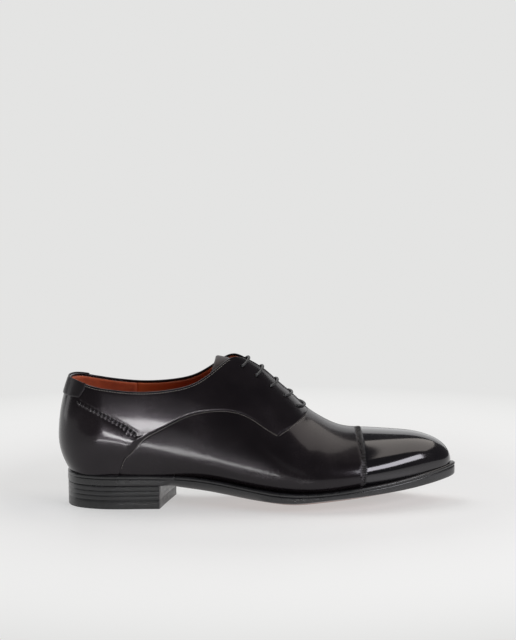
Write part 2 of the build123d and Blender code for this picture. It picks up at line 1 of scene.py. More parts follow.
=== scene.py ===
import bmesh
import bpy
import numpy as np
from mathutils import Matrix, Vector


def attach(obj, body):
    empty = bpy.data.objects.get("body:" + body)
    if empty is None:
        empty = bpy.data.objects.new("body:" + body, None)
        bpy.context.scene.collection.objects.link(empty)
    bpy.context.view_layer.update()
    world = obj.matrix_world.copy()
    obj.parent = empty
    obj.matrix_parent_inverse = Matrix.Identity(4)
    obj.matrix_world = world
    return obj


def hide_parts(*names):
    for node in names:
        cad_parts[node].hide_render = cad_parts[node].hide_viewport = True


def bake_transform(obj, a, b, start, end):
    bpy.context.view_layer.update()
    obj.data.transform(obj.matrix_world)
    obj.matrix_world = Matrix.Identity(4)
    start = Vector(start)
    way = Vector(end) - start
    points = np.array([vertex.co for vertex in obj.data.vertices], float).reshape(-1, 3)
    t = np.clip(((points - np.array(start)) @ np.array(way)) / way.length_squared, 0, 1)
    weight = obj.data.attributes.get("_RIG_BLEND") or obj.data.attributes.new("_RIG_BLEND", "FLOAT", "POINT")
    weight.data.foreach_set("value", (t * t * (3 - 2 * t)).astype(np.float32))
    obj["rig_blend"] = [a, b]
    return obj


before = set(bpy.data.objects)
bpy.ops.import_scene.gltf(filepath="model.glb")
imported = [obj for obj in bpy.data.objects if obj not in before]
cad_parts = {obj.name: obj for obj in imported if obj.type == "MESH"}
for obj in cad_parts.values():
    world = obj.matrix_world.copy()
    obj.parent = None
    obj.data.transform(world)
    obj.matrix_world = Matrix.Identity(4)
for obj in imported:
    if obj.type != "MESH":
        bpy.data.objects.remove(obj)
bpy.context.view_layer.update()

# Everything is worked out in millimetres in the CAD frame and scaled once, when a mesh is made.
MM = 0.001
HEEL_AXIS = -8.0               # x of the upright axis that the heel is rounded about
TOE_TIP = 256.5
TOE_ROUND = 66.5               # length of the stretch where the toe closes
LAST_STATION = TOE_TIP - HEEL_AXIS
HEEL_ARC = 55.0                # stations from the back seam to the heel axis
HEEL_POWER = 2 / 2.15          # a heel a little squarer than an ellipse
BALL = (147.0, 184.0)          # the bend at the ball of the foot starts and ends here
LATERAL, MEDIAL = -1, 1


# ---- curves
class Curve:
    """Natural cubic spline through (x, value) pairs, for arrays. A warp respaces x before the fit."""

    def __init__(self, *pairs, warp=None):
        self.warp = warp or (lambda v: v)
        x = self.warp(np.array([p[0] for p in pairs], float))
        y = np.array([p[1] for p in pairs], float)
        h = np.diff(x)
        n = len(x)
        matrix = np.eye(n)
        rhs = np.zeros(n)
        for i in range(1, n - 1):
            matrix[i, i - 1:i + 2] = h[i - 1], 2 * (h[i - 1] + h[i]), h[i]
            rhs[i] = 6 * ((y[i + 1] - y[i]) / h[i] - (y[i] - y[i - 1]) / h[i - 1])
        self.x, self.y, self.m = x, y, np.linalg.solve(matrix, rhs)

    def __call__(self, at):
        v = self.warp(np.asarray(at, float))
        i = np.clip(np.searchsorted(self.x, v) - 1, 0, len(self.x) - 2)
        h = self.x[i + 1] - self.x[i]
        a = (self.x[i + 1] - v) / h
        b = 1 - a
        bend = ((a**3 - a) * self.m[i] + (b**3 - b) * self.m[i + 1]) * h * h / 6
        return a * self.y[i] + b * self.y[i + 1] + bend


def station(x):
    """Distance ahead of the heel axis."""
    return np.asarray(x, float) - HEEL_AXIS


def toe_warp(x):
    """Angle that opens up evenly where a blunt toe closes."""
    return np.arcsin(np.clip(station(x) / LAST_STATION, -1, 1))


def toe_stations(turn):
    """Stations of columns at these angles, closer together towards the toe."""
    return np.sin(turn) * LAST_STATION


def smooth(t):
    t = np.clip(t, 0, 1)
    return t * t * (3 - 2 * t)


def closed_curve(points, count):
    """Periodic cubic spline through points, resampled to count even steps."""
    p = np.array(points, float)
    n = len(p)
    h = np.linalg.norm(np.roll(p, -1, 0) - p, axis=1)
    matrix = np.zeros((n, n))
    rhs = np.zeros((n, 2))
    for i in range(n):
        before, after = h[i - 1], h[i]
        matrix[i, i - 1] += before
        matrix[i, i] += 2 * (before + after)
        matrix[i, (i + 1) % n] += after
        rhs[i] = 6 * ((p[(i + 1) % n] - p[i]) / after - (p[i] - p[i - 1]) / before)
    m = np.linalg.solve(matrix, rhs)
    fine = []
    for i in range(n):
        j = (i + 1) % n
        b = np.linspace(0, 1, 60, endpoint=False)[:, None]
        a = 1 - b
        fine.append(a * p[i] + b * p[j] + ((a**3 - a) * m[i] + (b**3 - b) * m[j]) * h[i]**2 / 6)
    return resample(np.vstack(fine + [fine[0][:1]]), count + 1)[:-1]


def lengths(points):
    """Running length along a polyline."""
    steps = np.linalg.norm(np.diff(points, axis=0), axis=1)
    return np.concatenate([[0], np.cumsum(steps)])


def at_run(at, run, points):
    """Points, or directions, interpolated at running lengths."""
    return np.stack([np.interp(at, run, points[:, k]) for k in range(points.shape[1])], -1)


def resample(points, count):
    run = lengths(points)
    return at_run(np.linspace(0, run[-1], count), run, points)


# ---- shape of the last
feather = Curve((-50, 26), (-8, 26), (35, 25.5), (64, 23.8), (84, 21), (104, 17.8), (122, 15.5), (144, 14.8),
                (167, 16.4), (189, 18.8), (212, 21.5), (235, 25.2), (262, 30))
widest_z = Curve((-8, 52), (20, 49), (45, 43), (70, 35.5), (91, 30), (120, 25.5), (140, 23.8), (155, 24),
                 (175, 25), (195, 26.6), (215, 28.2), (232, 29.5), (245, 30.1), (256.5, 30.5))
ridge_y = Curve((-8, 0), (20, 0), (45, 0.3), (70, 1), (95, 2), (120, 3.5), (140, 5), (155, 6), (175, 7),
                (195, 7.7), (215, 8), (256.5, 8))
lateral_w = Curve((-8, 33.5), (20, 33.6), (45, 33.8), (70, 36.5), (95, 43), (120, 50), (140, 54), (155, 54.8),
                  (175, 52.5), (195, 47), (215, 38.6), (232, 28.7), (245, 19), (252, 12.2), (256.5, 0),
                  warp=toe_warp)
medial_w = Curve((-8, 33.5), (20, 33), (45, 31.4), (70, 30.8), (95, 33.2), (120, 38), (140, 41.7),
                 (155, 42.8), (175, 41), (195, 36.8), (215, 31), (232, 24.5), (245, 17), (252, 11.2),
                 (256.5, 0), warp=toe_warp)
height = Curve((-8, 78), (20, 80), (45, 83), (70, 85.5), (91, 86), (102, 82.1), (112, 77), (124.5, 67),
               (135, 58.5), (146, 48.2), (155.5, 41.3), (166, 35.3), (176, 31.9), (186, 30.3), (197, 28.9),
               (213, 26.6), (226, 24.2), (238, 20.5), (246, 16.6), (252, 11.6), (256.5, 0), warp=toe_warp)
pinch = Curve((-8, 0.03), (45, 0.02), (70, 0.03), (91, 0.08), (112, 0.2), (130, 0.28), (150, 0.28),
              (170, 0.17), (190, 0.1), (215, 0), (240, -0.12), (256.5, -0.15))
lateral_tuck = Curve((-8, 2.5), (45, 4), (70, 5.5), (95, 5.5), (120, 4.5), (155, 3), (195, 2), (230, 1),
                     (256.5, 0))
medial_tuck = Curve((-8, 2.5), (45, 6), (70, 8.5), (95, 8), (120, 6), (155, 3.5), (195, 2), (230, 1),
                    (256.5, 0))
UNDERCUT = 16.0                # how fast the leather turns in under the feather line
HEEL_W, HEEL_L = 33.5, 36.0    # half width and length of the rounded heel


def wall(s, v, side, inset=0.0):
    """Points on the last. s is the station (x - HEEL_AXIS ahead of the heel axis, and an arc round the heel
    behind it), v runs from -1 at the feather line over 0 at the widest line to 1 at the ridge."""
    s, v, inset = np.broadcast_arrays(np.asarray(s, float), np.asarray(v, float), np.asarray(inset, float))
    x = HEEL_AXIS + np.maximum(s, 0)
    along = (np.maximum(0, x - (TOE_TIP - TOE_ROUND)) / TOE_ROUND) ** 2
    across = inset * np.sqrt(np.maximum(0, 1 - along**2))
    rise = np.clip(v, 0, 1) * np.pi / 2
    q = np.maximum(-v, 0)
    under = np.maximum(q - 1, 0)
    top, base = widest_z(x), feather(x)
    tall = height(x) - across
    z = np.where(v >= 0, top + tall * np.sin(rise), top - (top - base) * q)
    if side < 0:
        w, tuck = lateral_w(x), lateral_tuck(x)
    else:
        w, tuck = medial_w(x), medial_tuck(x)
    w = w - across
    upper = w * np.cos(rise) * (1 - pinch(x) * np.sin(rise) ** 2)
    lower = np.maximum(w - tuck * np.minimum(q, 1) ** 2 - UNDERCUT * under, 0)
    y = ridge_y(x) + side * np.where(v >= 0, upper, lower)
    # rounded heel
    turn = np.clip(1 + s / HEEL_ARC, 0, 1) * np.pi / 2
    sine = np.sin(rise)
    wide = np.where(v >= 0, (HEEL_W - inset) * np.cos(rise) * (1 - 0.03 * sine**2),
                    HEEL_W - inset - 2.5 * np.minimum(q, 1) ** 2 - UNDERCUT * under)
    long = np.where(v >= 0, np.cos(rise) * (HEEL_L - inset - 6 * sine**2),
                    HEEL_L - inset - 8 * np.minimum(q, 1) ** 2 - UNDERCUT * under)
    heel = s < 0
    x_out = np.where(heel, HEEL_AXIS - long * np.cos(turn) ** HEEL_POWER, x - inset * along)
    y_out = np.where(heel, side * wide * np.sin(turn) ** HEEL_POWER, y)
    return np.stack([x_out, y_out, z], -1)


def level(s, z):
    """v at which the wall reaches height z."""
    x = HEEL_AXIS + np.maximum(np.asarray(s, float), 0)
    top = widest_z(x)
    up = np.arcsin(np.clip((z - top) / height(x), -1, 1)) * 2 / np.pi
    return np.where(z >= top, up, -(top - z) / (top - feather(x)))


def normals(s, v, side, inset=0.0):
    """Outward normals of the wall, from small steps both ways."""
    along, up = 0.05, 0.002
    ds = wall(s + along, v, side, inset) - wall(s - along, v, side, inset)
    dv = wall(s, v + up, side, inset) - wall(s, v - up, side, inset)
    n = np.cross(ds, dv) * -side
    return n / np.maximum(np.linalg.norm(n, axis=-1, keepdims=True), 1e-9)


# ---- pattern lines
VAMP_POINT = (123.5, 58.0)
THROAT = (146.0, 70.5)
seam_z = Curve((1, 14), (4, 30), (11, 42.5), (19, 51.8), (32, 60.5), (52, 70.6), (73, 75.6), (83, 76),
               (93.6, 74.5), (106, 69), (116, 62.4), VAMP_POINT)
topline_z = Curve((-45, 97.6), (-34, 97.5), (-20, 94.4), (1, 90.8), (17, 89.6), (32, 90), (46, 91.7),
                  (60.6, 95.8), (73, 103.4), (81, 109.4), (86, 112.3), (91, 113.4), (96, 112.4), (102, 111.6),
                  (108, 116), (118, 124))
PINCH = [(-29.3, 81.5), (-25.3, 79.9), (-16.8, 75.8), (-8.7, 71.9), (-1.7, 68.2), (6.4, 63.7), (17.5, 56.3)]
EYELETS = [(138.7, 75.5), (129, 83.5), (118, 91.4), (107, 99.6), (96.5, 106.6)]
LEATHER = 1.3                  # depths under the last's surface: back of the leather,
MID = 2.1                      # back of the stiffeners,
WALL = 3.1                     # inside of the lining,
TONGUE_LEVEL = 6.8             # and top of the tongue


def gap_half(x):
    """Half the opening between the facings."""
    return 0.75 + (147 - x) * 0.098


def seam_at(x):
    """Height of the vamp's edge: the curved seam, then straight up to the throat."""
    x = np.asarray(x, float)
    slope = (THROAT[1] - VAMP_POINT[1]) / (THROAT[0] - VAMP_POINT[0])
    straight = VAMP_POINT[1] + (x - VAMP_POINT[0]) * slope
    return np.where(x < VAMP_POINT[0], seam_z(np.clip(x, 1, VAMP_POINT[0])), straight)


def seam_v(s):
    """The vamp's edge as v; past the throat it climbs to the ridge."""
    x = s + HEEL_AXIS
    v = level(s, seam_at(x))
    return np.maximum(v + (1 - v) * smooth((x - THROAT[0] + 0.5) / 1.5), -1)


seam_x = np.concatenate([np.linspace(1, 12, 60), np.linspace(12.5, VAMP_POINT[0], 160),
                         np.linspace(VAMP_POINT[0] + 0.1, THROAT[0], 40)])
SEAM_SIDE_VIEW = np.stack([seam_x, seam_at(seam_x)], 1)


def seam_distance(p):
    """Distance from the vamp's edge in side view, positive on the quarter."""
    d, _ = nearest(p[..., [0, 2]], SEAM_SIDE_VIEW)
    above = (p[..., 2] > seam_at(p[..., 0])) | (p[..., 0] < 1)
    return np.where(above, d, -d)


def cap_x(z):
    """Edge of the toe cap, bowed a little."""
    return 189.3 - 0.0055 * (z - 32) ** 2


def quarter_top(s, side):
    """Upper edge of a quarter: the topline, rounded into the facing at the lobe."""
    z = np.full_like(s, 97.0)
    for _ in range(4):
        z = topline_z(wall(s, level(s, z), side)[..., 0])
    top = level(s, z)
    x = s + HEEL_AXIS
    w = lateral_w(x) if side < 0 else medial_w(x)
    rise = np.full_like(s, np.pi / 2 - 0.1)
    for _ in range(12):
        rise = np.arccos(np.clip(gap_half(x) / (w * (1 - pinch(x) * np.sin(rise) ** 2)), 0, 1))
    front = np.where(x > 77, rise * 2 / np.pi, 2.0)
    soft = 0.03
    share = np.clip(0.5 + (front - top) / (2 * soft), 0, 1)
    return front + (top - front) * share - soft * share * (1 - share)


# ---- meshes
def finished(name, mesh, material, sharp=None):
    """Object of a mesh, shaded smooth except over edges sharper than an angle."""
    mesh.polygons.foreach_set("use_smooth", np.full(len(mesh.polygons), True))
    if sharp is not None:
        mesh.set_sharp_from_angle(angle=np.radians(sharp))
    for m in material if isinstance(material, list) else [material]:
        mesh.materials.append(m)
    obj = bpy.data.objects.new(name, mesh)
    bpy.context.scene.collection.objects.link(obj)
    return obj


def to_object(name, verts, faces, material, sharp=None):
    mesh = bpy.data.meshes.new(name)
    mesh.from_pydata((np.asarray(verts) * MM).tolist(), [], [tuple(int(i) for i in f) for f in faces])
    mesh.update()
    return finished(name, mesh, material, sharp)


def grid_faces(n, m, flip=False, start=0):
    """Quads over n columns of m points."""
    i, j = np.meshgrid(np.arange(n - 1), np.arange(m - 1), indexing="ij")
    corner = (i * m + j).ravel() + start
    f = np.stack([corner, corner + m, corner + m + 1, corner + 1], 1)
    return f[:, ::-1] if flip else f


def sheet_faces(n, m, flip=False):
    """Faces of a closed sheet: two grids, the second one turned over, and the rim between them."""
    rim = np.concatenate([np.arange(m), np.arange(1, n) * m + m - 1, (n - 1) * m + np.arange(m - 2, -1, -1),
                          np.arange(n - 2, 0, -1) * m])
    ahead = np.roll(rim, -1)
    band = np.stack([rim, ahead, ahead + n * m, rim + n * m], 1)
    if flip:
        band = band[:, ::-1]
    return np.vstack([grid_faces(n, m, flip), grid_faces(n, m, not flip, n * m), band])


def sheet(top, under, flip=False):
    """Points and faces of a closed sheet between two grids of points."""
    faces = sheet_faces(*top.shape[:2], flip)
    return np.vstack([top.reshape(-1, 3), under.reshape(-1, 3)]), faces.tolist()


def columns(s, v):
    """Station of every point of a grid whose columns stand at s."""
    return np.broadcast_to(s[:, None], v.shape)


def nearest(points, line):
    """Distance of each point from a polyline, and how far along the line its foot is."""
    flat = points.reshape(-1, points.shape[-1])
    run = lengths(line)
    index = np.zeros(len(flat), int)
    batch = 4000
    for i in range(0, len(flat), batch):
        index[i:i + batch] = ((flat[i:i + batch, None] - line[None]) ** 2).sum(-1).argmin(1)
    best = np.full(len(flat), 1e9)
    where = np.zeros(len(flat))
    for shift in (-1, 0):
        a = np.clip(index + shift, 0, len(line) - 2)
        p, d = line[a], line[a + 1] - line[a]
        t = np.clip(((flat - p) * d).sum(1) / np.maximum((d * d).sum(1), 1e-12), 0, 1)
        gap = np.linalg.norm(flat - (p + d * t[:, None]), axis=1)
        where = np.where(gap < best, run[a] + t * (run[a + 1] - run[a]), where)
        best = np.minimum(gap, best)
    return best.reshape(points.shape[:-1]), where.reshape(points.shape[:-1])


EDGE_STEPS = np.array([0, 0.12, 0.3, 0.55, 0.9, 1.4, 2.1, 3.0])


def rows(s, low, high, side, middle):
    """v of every row in every column, and the distance from the upper edge: close rows at both edges."""
    t = np.linspace(0, 1, 80)
    v = low[:, None] + (high - low)[:, None] * t[None]
    points = wall(s[:, None], v, side)
    run = np.concatenate([np.zeros((len(s), 1)),
                          np.cumsum(np.linalg.norm(np.diff(points, axis=1), axis=2), axis=1)], 1)
    out, left = [], []
    for i in range(len(s)):
        total = run[i, -1]
        edge = EDGE_STEPS * min(1.0, total / (EDGE_STEPS[-1] * 3))
        between = np.linspace(edge[-1], total - edge[-1], middle + 2)[1:-1]
        at = np.concatenate([edge, between, total - edge[::-1]])
        out.append(np.interp(at, run[i], v[i]))
        left.append(total - at)
    return np.array(out), np.array(left)


def rounded(d, r):
    """Drop of a rounded edge of radius r at distance d from it."""
    t = np.clip(1 - d / r, 0, 1)
    return r * (1 - np.sqrt(np.maximum(0, 1 - t * t)))


def panel(name, parts, material, lift, inner, dense=None, cuts=3):
    """Closed leather panel. parts holds (side, s, v, edge) grids, lift gives the outer surface's height over
    the last from points, s, v, side and edge distance, and dense picks the outer area that is cut finer."""
    b = bmesh.new()
    keys = [b.verts.layers.float.new(k) for k in ("s", "v", "side", "edge", "layer")]
    for side, s, v, edge in parts:
        n, m = v.shape
        made = []
        for layer in (0, 1):
            co = wall(s, v, side, layer * inner)
            for i in range(n):
                for j in range(m):
                    vert = b.verts.new(co[i, j])
                    for key, value in zip(keys, (s[i, j], v[i, j], side, edge[i, j], layer)):
                        vert[key] = value
                    made.append(vert)
        for face in sheet_faces(n, m, side > 0):
            b.faces.new([made[k] for k in face])
    bmesh.ops.remove_doubles(b, verts=b.verts, dist=0.02)
    if dense is not None:
        co = np.array([v.co for v in b.verts])
        outer = np.array([v[keys[-1]] for v in b.verts]) < 0.5
        chosen = dense(co) & outer
        b.verts.ensure_lookup_table()
        b.verts.index_update()
        edges = [e for e in b.edges if chosen[e.verts[0].index] and chosen[e.verts[1].index]]
        bmesh.ops.subdivide_edges(b, edges=edges, cuts=cuts, use_grid_fill=True)
    s, v, side, edge, layer = (np.array([x[k] for x in b.verts]) for k in keys)
    out = np.zeros((len(s), 3))
    for which in (-1, 1):
        mine = (side < 0) == (which < 0)
        base = wall(s[mine], v[mine], which)
        high = lift(base, s[mine], v[mine], which, edge[mine])
        face = base + normals(s[mine], np.minimum(v[mine], 0.999), which) * high[:, None]
        under = wall(s[mine], v[mine], which, inner)
        out[mine] = np.where(layer[mine, None] < 0.5, face, under)
    for vert, co in zip(b.verts, out):
        vert.co = co * MM
    for _ in keys:
        b.verts.layers.float.remove(b.verts.layers.float[0])
    mesh = bpy.data.meshes.new(name)
    b.to_mesh(mesh)
    b.free()
    return finished(name, mesh, material)


def tube(points, radius, sides, braid=None):
    """Closed tube along points, with a steady frame. The radius may change along it, and braid scales it by
    angle and run."""
    p = np.asarray(points, float)
    run = lengths(p)
    tangent = np.gradient(p, axis=0)
    tangent /= np.linalg.norm(tangent, axis=1, keepdims=True)
    up = np.array([0.0, 0, 1]) if abs(tangent[0, 2]) < 0.9 else np.array([1.0, 0, 0])
    radius = np.broadcast_to(radius, (len(p),))
    a = np.arange(sides) * 2 * np.pi / sides
    verts = []
    for i in range(len(p)):
        up = up - tangent[i] * (up @ tangent[i])
        up /= np.linalg.norm(up)
        other = np.cross(tangent[i], up)
        r = np.full(sides, radius[i])
        if braid is not None:
            r = r * braid(a, run[i])
        verts.append(p[i] + r[:, None] * (np.cos(a)[:, None] * up + np.sin(a)[:, None] * other))
    corners = [(i * sides, j, (j + 1) % sides) for i in range(len(p) - 1) for j in range(sides)]
    faces = [[i + j, i + k, i + sides + k, i + sides + j] for i, j, k in corners]
    faces.append(list(range(sides))[::-1])
    faces.append([(len(p) - 1) * sides + j for j in range(sides)])
    return np.vstack(verts), faces


def merge(pieces):
    """Points and faces of several pieces as one mesh."""
    verts, faces, count = [], [], 0
    for v, f in pieces:
        verts.append(v)
        faces += [[k + count for k in face] for face in f]
        count += len(v)
    return np.vstack(verts), faces


def stitch(a, b, up, radius, arch=0.12):
    """One thread stitch from a to b: a short tube that dives in at both ends."""
    t = np.array([0, 0.08, 0.25, 0.5, 0.75, 0.92, 1.0])
    high = np.array([-0.5, 0.05, 0.8, 1.0, 0.8, 0.05, -0.5]) * (radius * 0.6 + arch) - arch * 0.3
    p = a + (b - a) * t[:, None] + up * high[:, None]
    return tube(p, radius * np.array([0.7, 0.95, 1, 1, 1, 0.95, 0.7]), 6)


def stitch_row(points, ups, pitch, radius=0.24, fill=0.74, tilt=0.0, arch=0.12):
    """Stitches along a line; tilt turns each one in the surface."""
    run = lengths(points)
    count = max(1, int(run[-1] / pitch))
    made = []
    for k in range(count):
        ends = (k + 0.5 + np.array([-0.5, 0, 0.5]) * fill) * run[-1] / count
        p = at_run(ends, run, points)
        up = at_run(ends[1], run, ups)
        up /= np.linalg.norm(up)
        along = p[2] - p[0]
        across = np.cross(up, along)
        half = (along * np.cos(tilt) + across * np.sin(tilt)) / 2
        made.append(stitch(p[1] - half, p[1] + half, up, radius, arch))
    return made


def surface_line(s, v, side, lift=0.0, shift=0.0):
    """A line on the upper, moved sideways in the surface by shift (down for a line running forward)."""
    p = wall(s, v, side)
    n = normals(s, np.minimum(v, 0.999), side)
    along = np.gradient(p, axis=0)
    along /= np.linalg.norm(along, axis=1, keepdims=True)
    across = np.cross(along, n) * -side
    return p + across * shift + n * lift, n


# ---- materials
class Nodes:
    """Small helper that keeps node trees short to write."""

    def __init__(self, name):
        self.material = bpy.data.materials.new(name)
        self.material.use_nodes = True
        self.tree = self.material.node_tree
        self.shader = self.tree.nodes["Principled BSDF"]
        self.place = self.add("ShaderNodeTexCoord").outputs["Object"]

    def add(self, kind, links=(), **values):
        n = self.tree.nodes.new(kind)
        for key, value in values.items():
            if key in n.inputs:
                n.inputs[key].default_value = value
            else:
                setattr(n, key, value)
        for key, source in dict(links).items():
            self.tree.links.new(source, n.inputs[key])
        return n

    def noise(self, scale, detail=4.0, rough=0.55, vector=None):
        links = {"Vector": vector or self.place}
        n = self.add("ShaderNodeTexNoise", links, Scale=scale, Detail=detail, Roughness=rough)
        return n.outputs["Fac"]

    def cells(self, scale):
        return self.add("ShaderNodeTexVoronoi", {"Vector": self.place}, Scale=scale).outputs["Distance"]

    def stretch(self, x, y, z):
        n = self.add("ShaderNodeMapping", {"Vector": self.place})
        n.inputs["Scale"].default_value = (x, y, z)
        return n.outputs["Vector"]

    def span(self, value, low, high, start=0.3, stop=0.7):
        n = self.add("ShaderNodeMapRange", {"Value": value})
        for key, v in (("From Min", start), ("From Max", stop), ("To Min", low), ("To Max", high)):
            n.inputs[key].default_value = v
        return n.outputs["Result"]

    def ramp(self, value, *stops):
        n = self.add("ShaderNodeValToRGB", {"Fac": value})
        ramp = n.color_ramp
        while len(ramp.elements) < len(stops):
            ramp.elements.new(0.5)
        for element, (at, colour) in zip(ramp.elements, stops):
            element.position = at
            element.color = (*colour, 1)
        return n.outputs["Color"]

    def math(self, operation, a, b):
        n = self.add("ShaderNodeMath", operation=operation)
        for i, value in enumerate((a, b)):
            if isinstance(value, (int, float)):
                n.inputs[i].default_value = value
            else:
                self.tree.links.new(value, n.inputs[i])
        return n.outputs[0]

    def bump(self, value, strength, distance=0.0003, below=None):
        links = {"Height": value}
        if below is not None:
            links["Normal"] = below
        return self.add("ShaderNodeBump", links, Strength=strength, Distance=distance).outputs["Normal"]

    def set(self, **values):
        for key, value in values.items():
            socket = self.shader.inputs[key.replace("_", " ")]
            if isinstance(value, (int, float)):
                socket.default_value = value
            elif isinstance(value, tuple):
                socket.default_value = (*value, 1) if len(value) == 3 else value
            else:
                self.tree.links.new(value, socket)
        return self.material


def calf(name, dark, light, rough, polish, grain):
    """Polished box calf: nearly black, burnished in clouds, with fine pores under a wax shine."""
    n = Nodes(name)
    clouds = n.noise(28, 3)
    pores = n.cells(1500)
    fine = n.noise(2600, 3, 0.6)
    veins = n.noise(260, 5, 0.62)
    tone = n.ramp(clouds, (0.35, dark), (0.72, light))
    surface = n.bump(pores, 0.12 * grain, 0.0002)
    surface = n.bump(fine, 0.10 * grain, 0.0001, surface)
    surface = n.bump(veins, 0.05 * grain, 0.0006, surface)
    shine = n.math("ADD", n.span(clouds, rough - 0.03, rough + 0.05), n.span(fine, -0.03, 0.03))
    coat = n.bump(veins, 0.03 * grain, 0.0006, n.bump(fine, 0.04 * grain, 0.0001))
    return n.set(Base_Color=tone, Roughness=shine, Normal=surface, Coat_Weight=polish, Coat_Roughness=0.09,
                 Coat_Normal=coat, Specular_IOR_Level=0.2, Specular_Tint=(0.95, 0.86, 0.95))


def hide(name, dark, light, rough, scale=60, grain=0.25, sheen=0.0):
    """Uncoated leather or suede."""
    n = Nodes(name)
    clouds = n.noise(scale, 4)
    pores = n.cells(1100)
    fine = n.noise(3000, 3, 0.7)
    surface = n.bump(fine, grain, 0.0002, n.bump(pores, grain * 0.6, 0.0002))
    tone = n.ramp(clouds, (0.3, dark), (0.7, light))
    return n.set(Base_Color=tone, Roughness=n.span(fine, rough - 0.06, rough + 0.06), Normal=surface,
                 Sheen_Weight=sheen)


def edge_ink(name, rough, layers=900, colour=(0.0075, 0.0072, 0.0082), relief=0.3):
    """Inked and waxed edge of stacked leather: fine level lines and slight wear."""
    n = Nodes(name)
    lines = n.noise(1, 2, 0.5, n.stretch(14, 14, layers))
    wear = n.noise(240, 4, 0.6)
    light = tuple(c * 2.6 for c in colour)
    tone = n.ramp(n.math("MULTIPLY", lines, wear), (0.2, colour), (0.42, light))
    surface = n.bump(lines, relief, 0.0003, n.bump(wear, relief * 0.4, 0.0003))
    return n.set(Base_Color=tone, Roughness=n.span(wear, rough - 0.06, rough + 0.1), Normal=surface,
                 Coat_Weight=0.35, Coat_Roughness=0.2)


def cloth(name, dark, light, rough, scale=2200):
    """Waxed cotton, thread or film, told apart by scale."""
    n = Nodes(name)
    weave = n.noise(scale, 2)
    return n.set(Base_Color=n.ramp(weave, (0.35, dark), (0.65, light)), Roughness=rough,
                 Normal=n.bump(weave, 0.3, 0.0002))


def metal(name, colour, rough):
    """Rolled metal with fine marks."""
    n = Nodes(name)
    marks = n.noise(900, 4)
    return n.set(Base_Color=colour, Metallic=1.0, Roughness=n.span(marks, rough - 0.05, rough + 0.08),
                 Normal=n.bump(marks, 0.05))


black = calf("upper_calf", (0.0052, 0.0040, 0.0048), (0.0105, 0.0082, 0.0092), 0.24, 0.3, 1.0)
cap_black = calf("cap_calf", (0.0045, 0.0040, 0.0050), (0.0080, 0.0070, 0.0080), 0.11, 0.9, 0.35)
tab_black = calf("tab_calf", (0.010, 0.009, 0.010), (0.018, 0.016, 0.0165), 0.36, 0.1, 1.2)
cognac = hide("lining_calf", (0.42, 0.078, 0.020), (0.56, 0.115, 0.033), 0.45, 45)
suede = hide("grip_suede", (0.36, 0.062, 0.016), (0.50, 0.095, 0.027), 0.85, 160, 0.6, 0.2)
sock_tan = hide("sock_calf", (0.19, 0.045, 0.014), (0.26, 0.068, 0.022), 0.45, 40)
insole_tan = hide("insole_leather", (0.33, 0.17, 0.08), (0.42, 0.24, 0.13), 0.7, 80)
tongue_hide = hide("tongue_suede", (0.020, 0.015, 0.0145), (0.036, 0.028, 0.027), 0.7, 120, 0.4, 0.25)
lace_wax = cloth("lace_cotton", (0.007, 0.007, 0.0078), (0.019, 0.019, 0.021), 0.42)
thread_grey = cloth("thread_grey", (0.10, 0.092, 0.083), (0.19, 0.177, 0.162), 0.6, 4000)
thread_black = cloth("thread_black", (0.006, 0.006, 0.0065), (0.017, 0.016, 0.016), 0.45, 4000)
thread_cap = cloth("thread_cap", (0.020, 0.019, 0.019), (0.060, 0.057, 0.055), 0.45, 4000)
sole_edge = edge_ink("sole_edge", 0.3, 60)
heel_edge = edge_ink("heel_edge", 0.34, 1400, relief=0.07)
rubber = edge_ink("top_piece", 0.45, 50, (0.009, 0.009, 0.0095))
tread = hide("tread_leather", (0.17, 0.058, 0.034), (0.25, 0.095, 0.058), 0.34, 35, 0.15)
welt_ink = edge_ink("welt_edge", 0.3, 120)
stiffener = hide("stiffener", (0.4, 0.33, 0.25), (0.5, 0.42, 0.33), 0.8)
cork = hide("cork", (0.25, 0.14, 0.07), (0.4, 0.25, 0.14), 0.85, 600)
brass = metal("eyelet_brass", (0.62, 0.45, 0.2, 1), 0.3)
steel = metal("steel", (0.55, 0.55, 0.56, 1), 0.35)
aglet_film = cloth("aglet_film", (0.01, 0.01, 0.01), (0.014, 0.014, 0.014), 0.25, 300)


# ---- how pieces ride
def rides(piece, body, *nodes):
    """The piece rides on one body and stands for these CAD nodes."""
    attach(piece, body)
    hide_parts(*nodes)


def bends(piece, *nodes):
    """The piece bends at the ball of the foot and stands for these CAD nodes."""
    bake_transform(piece, "rear", "forepart", (BALL[0] * MM, 0, 0), (BALL[1] * MM, 0, 0))
    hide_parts(*nodes)


# ---- upper
def wobble(p):
    """Slow unevenness of hand-lasted leather."""
    x, y, z = p[..., 0], p[..., 1], p[..., 2]
    return (0.07 * np.sin(x / 7.3 + z / 13) * np.sin(z / 8.1 - y / 11)
            + 0.05 * np.sin(x / 17 - z / 6.7 + y / 9))


def pinch_line(side):
    """The hand-pinched seam on the heel quarter, as points on the last."""
    x, z = np.array(PINCH).T
    s = np.linspace(-HEEL_ARC, 30, 700)
    track = np.zeros((len(s), 3))
    line_z = np.interp(s + HEEL_AXIS, x, z)
    for _ in range(6):
        track = wall(s, level(s, line_z), side)
        line_z = Curve(*PINCH)(np.clip(track[:, 0], x[0], x[-1]))
    keep = (track[:, 0] > x[0]) & (track[:, 0] < x[-1])
    return resample(track[keep], 160)


PINCH_PITCH = 3.3              # from stitch to stitch
HOLE_R = 1.45
LOW_EDGE = -1.15               # v of the leather's turned-in edge under the feather line
pinch_lines = {side: pinch_line(side) for side in (LATERAL, MEDIAL)}


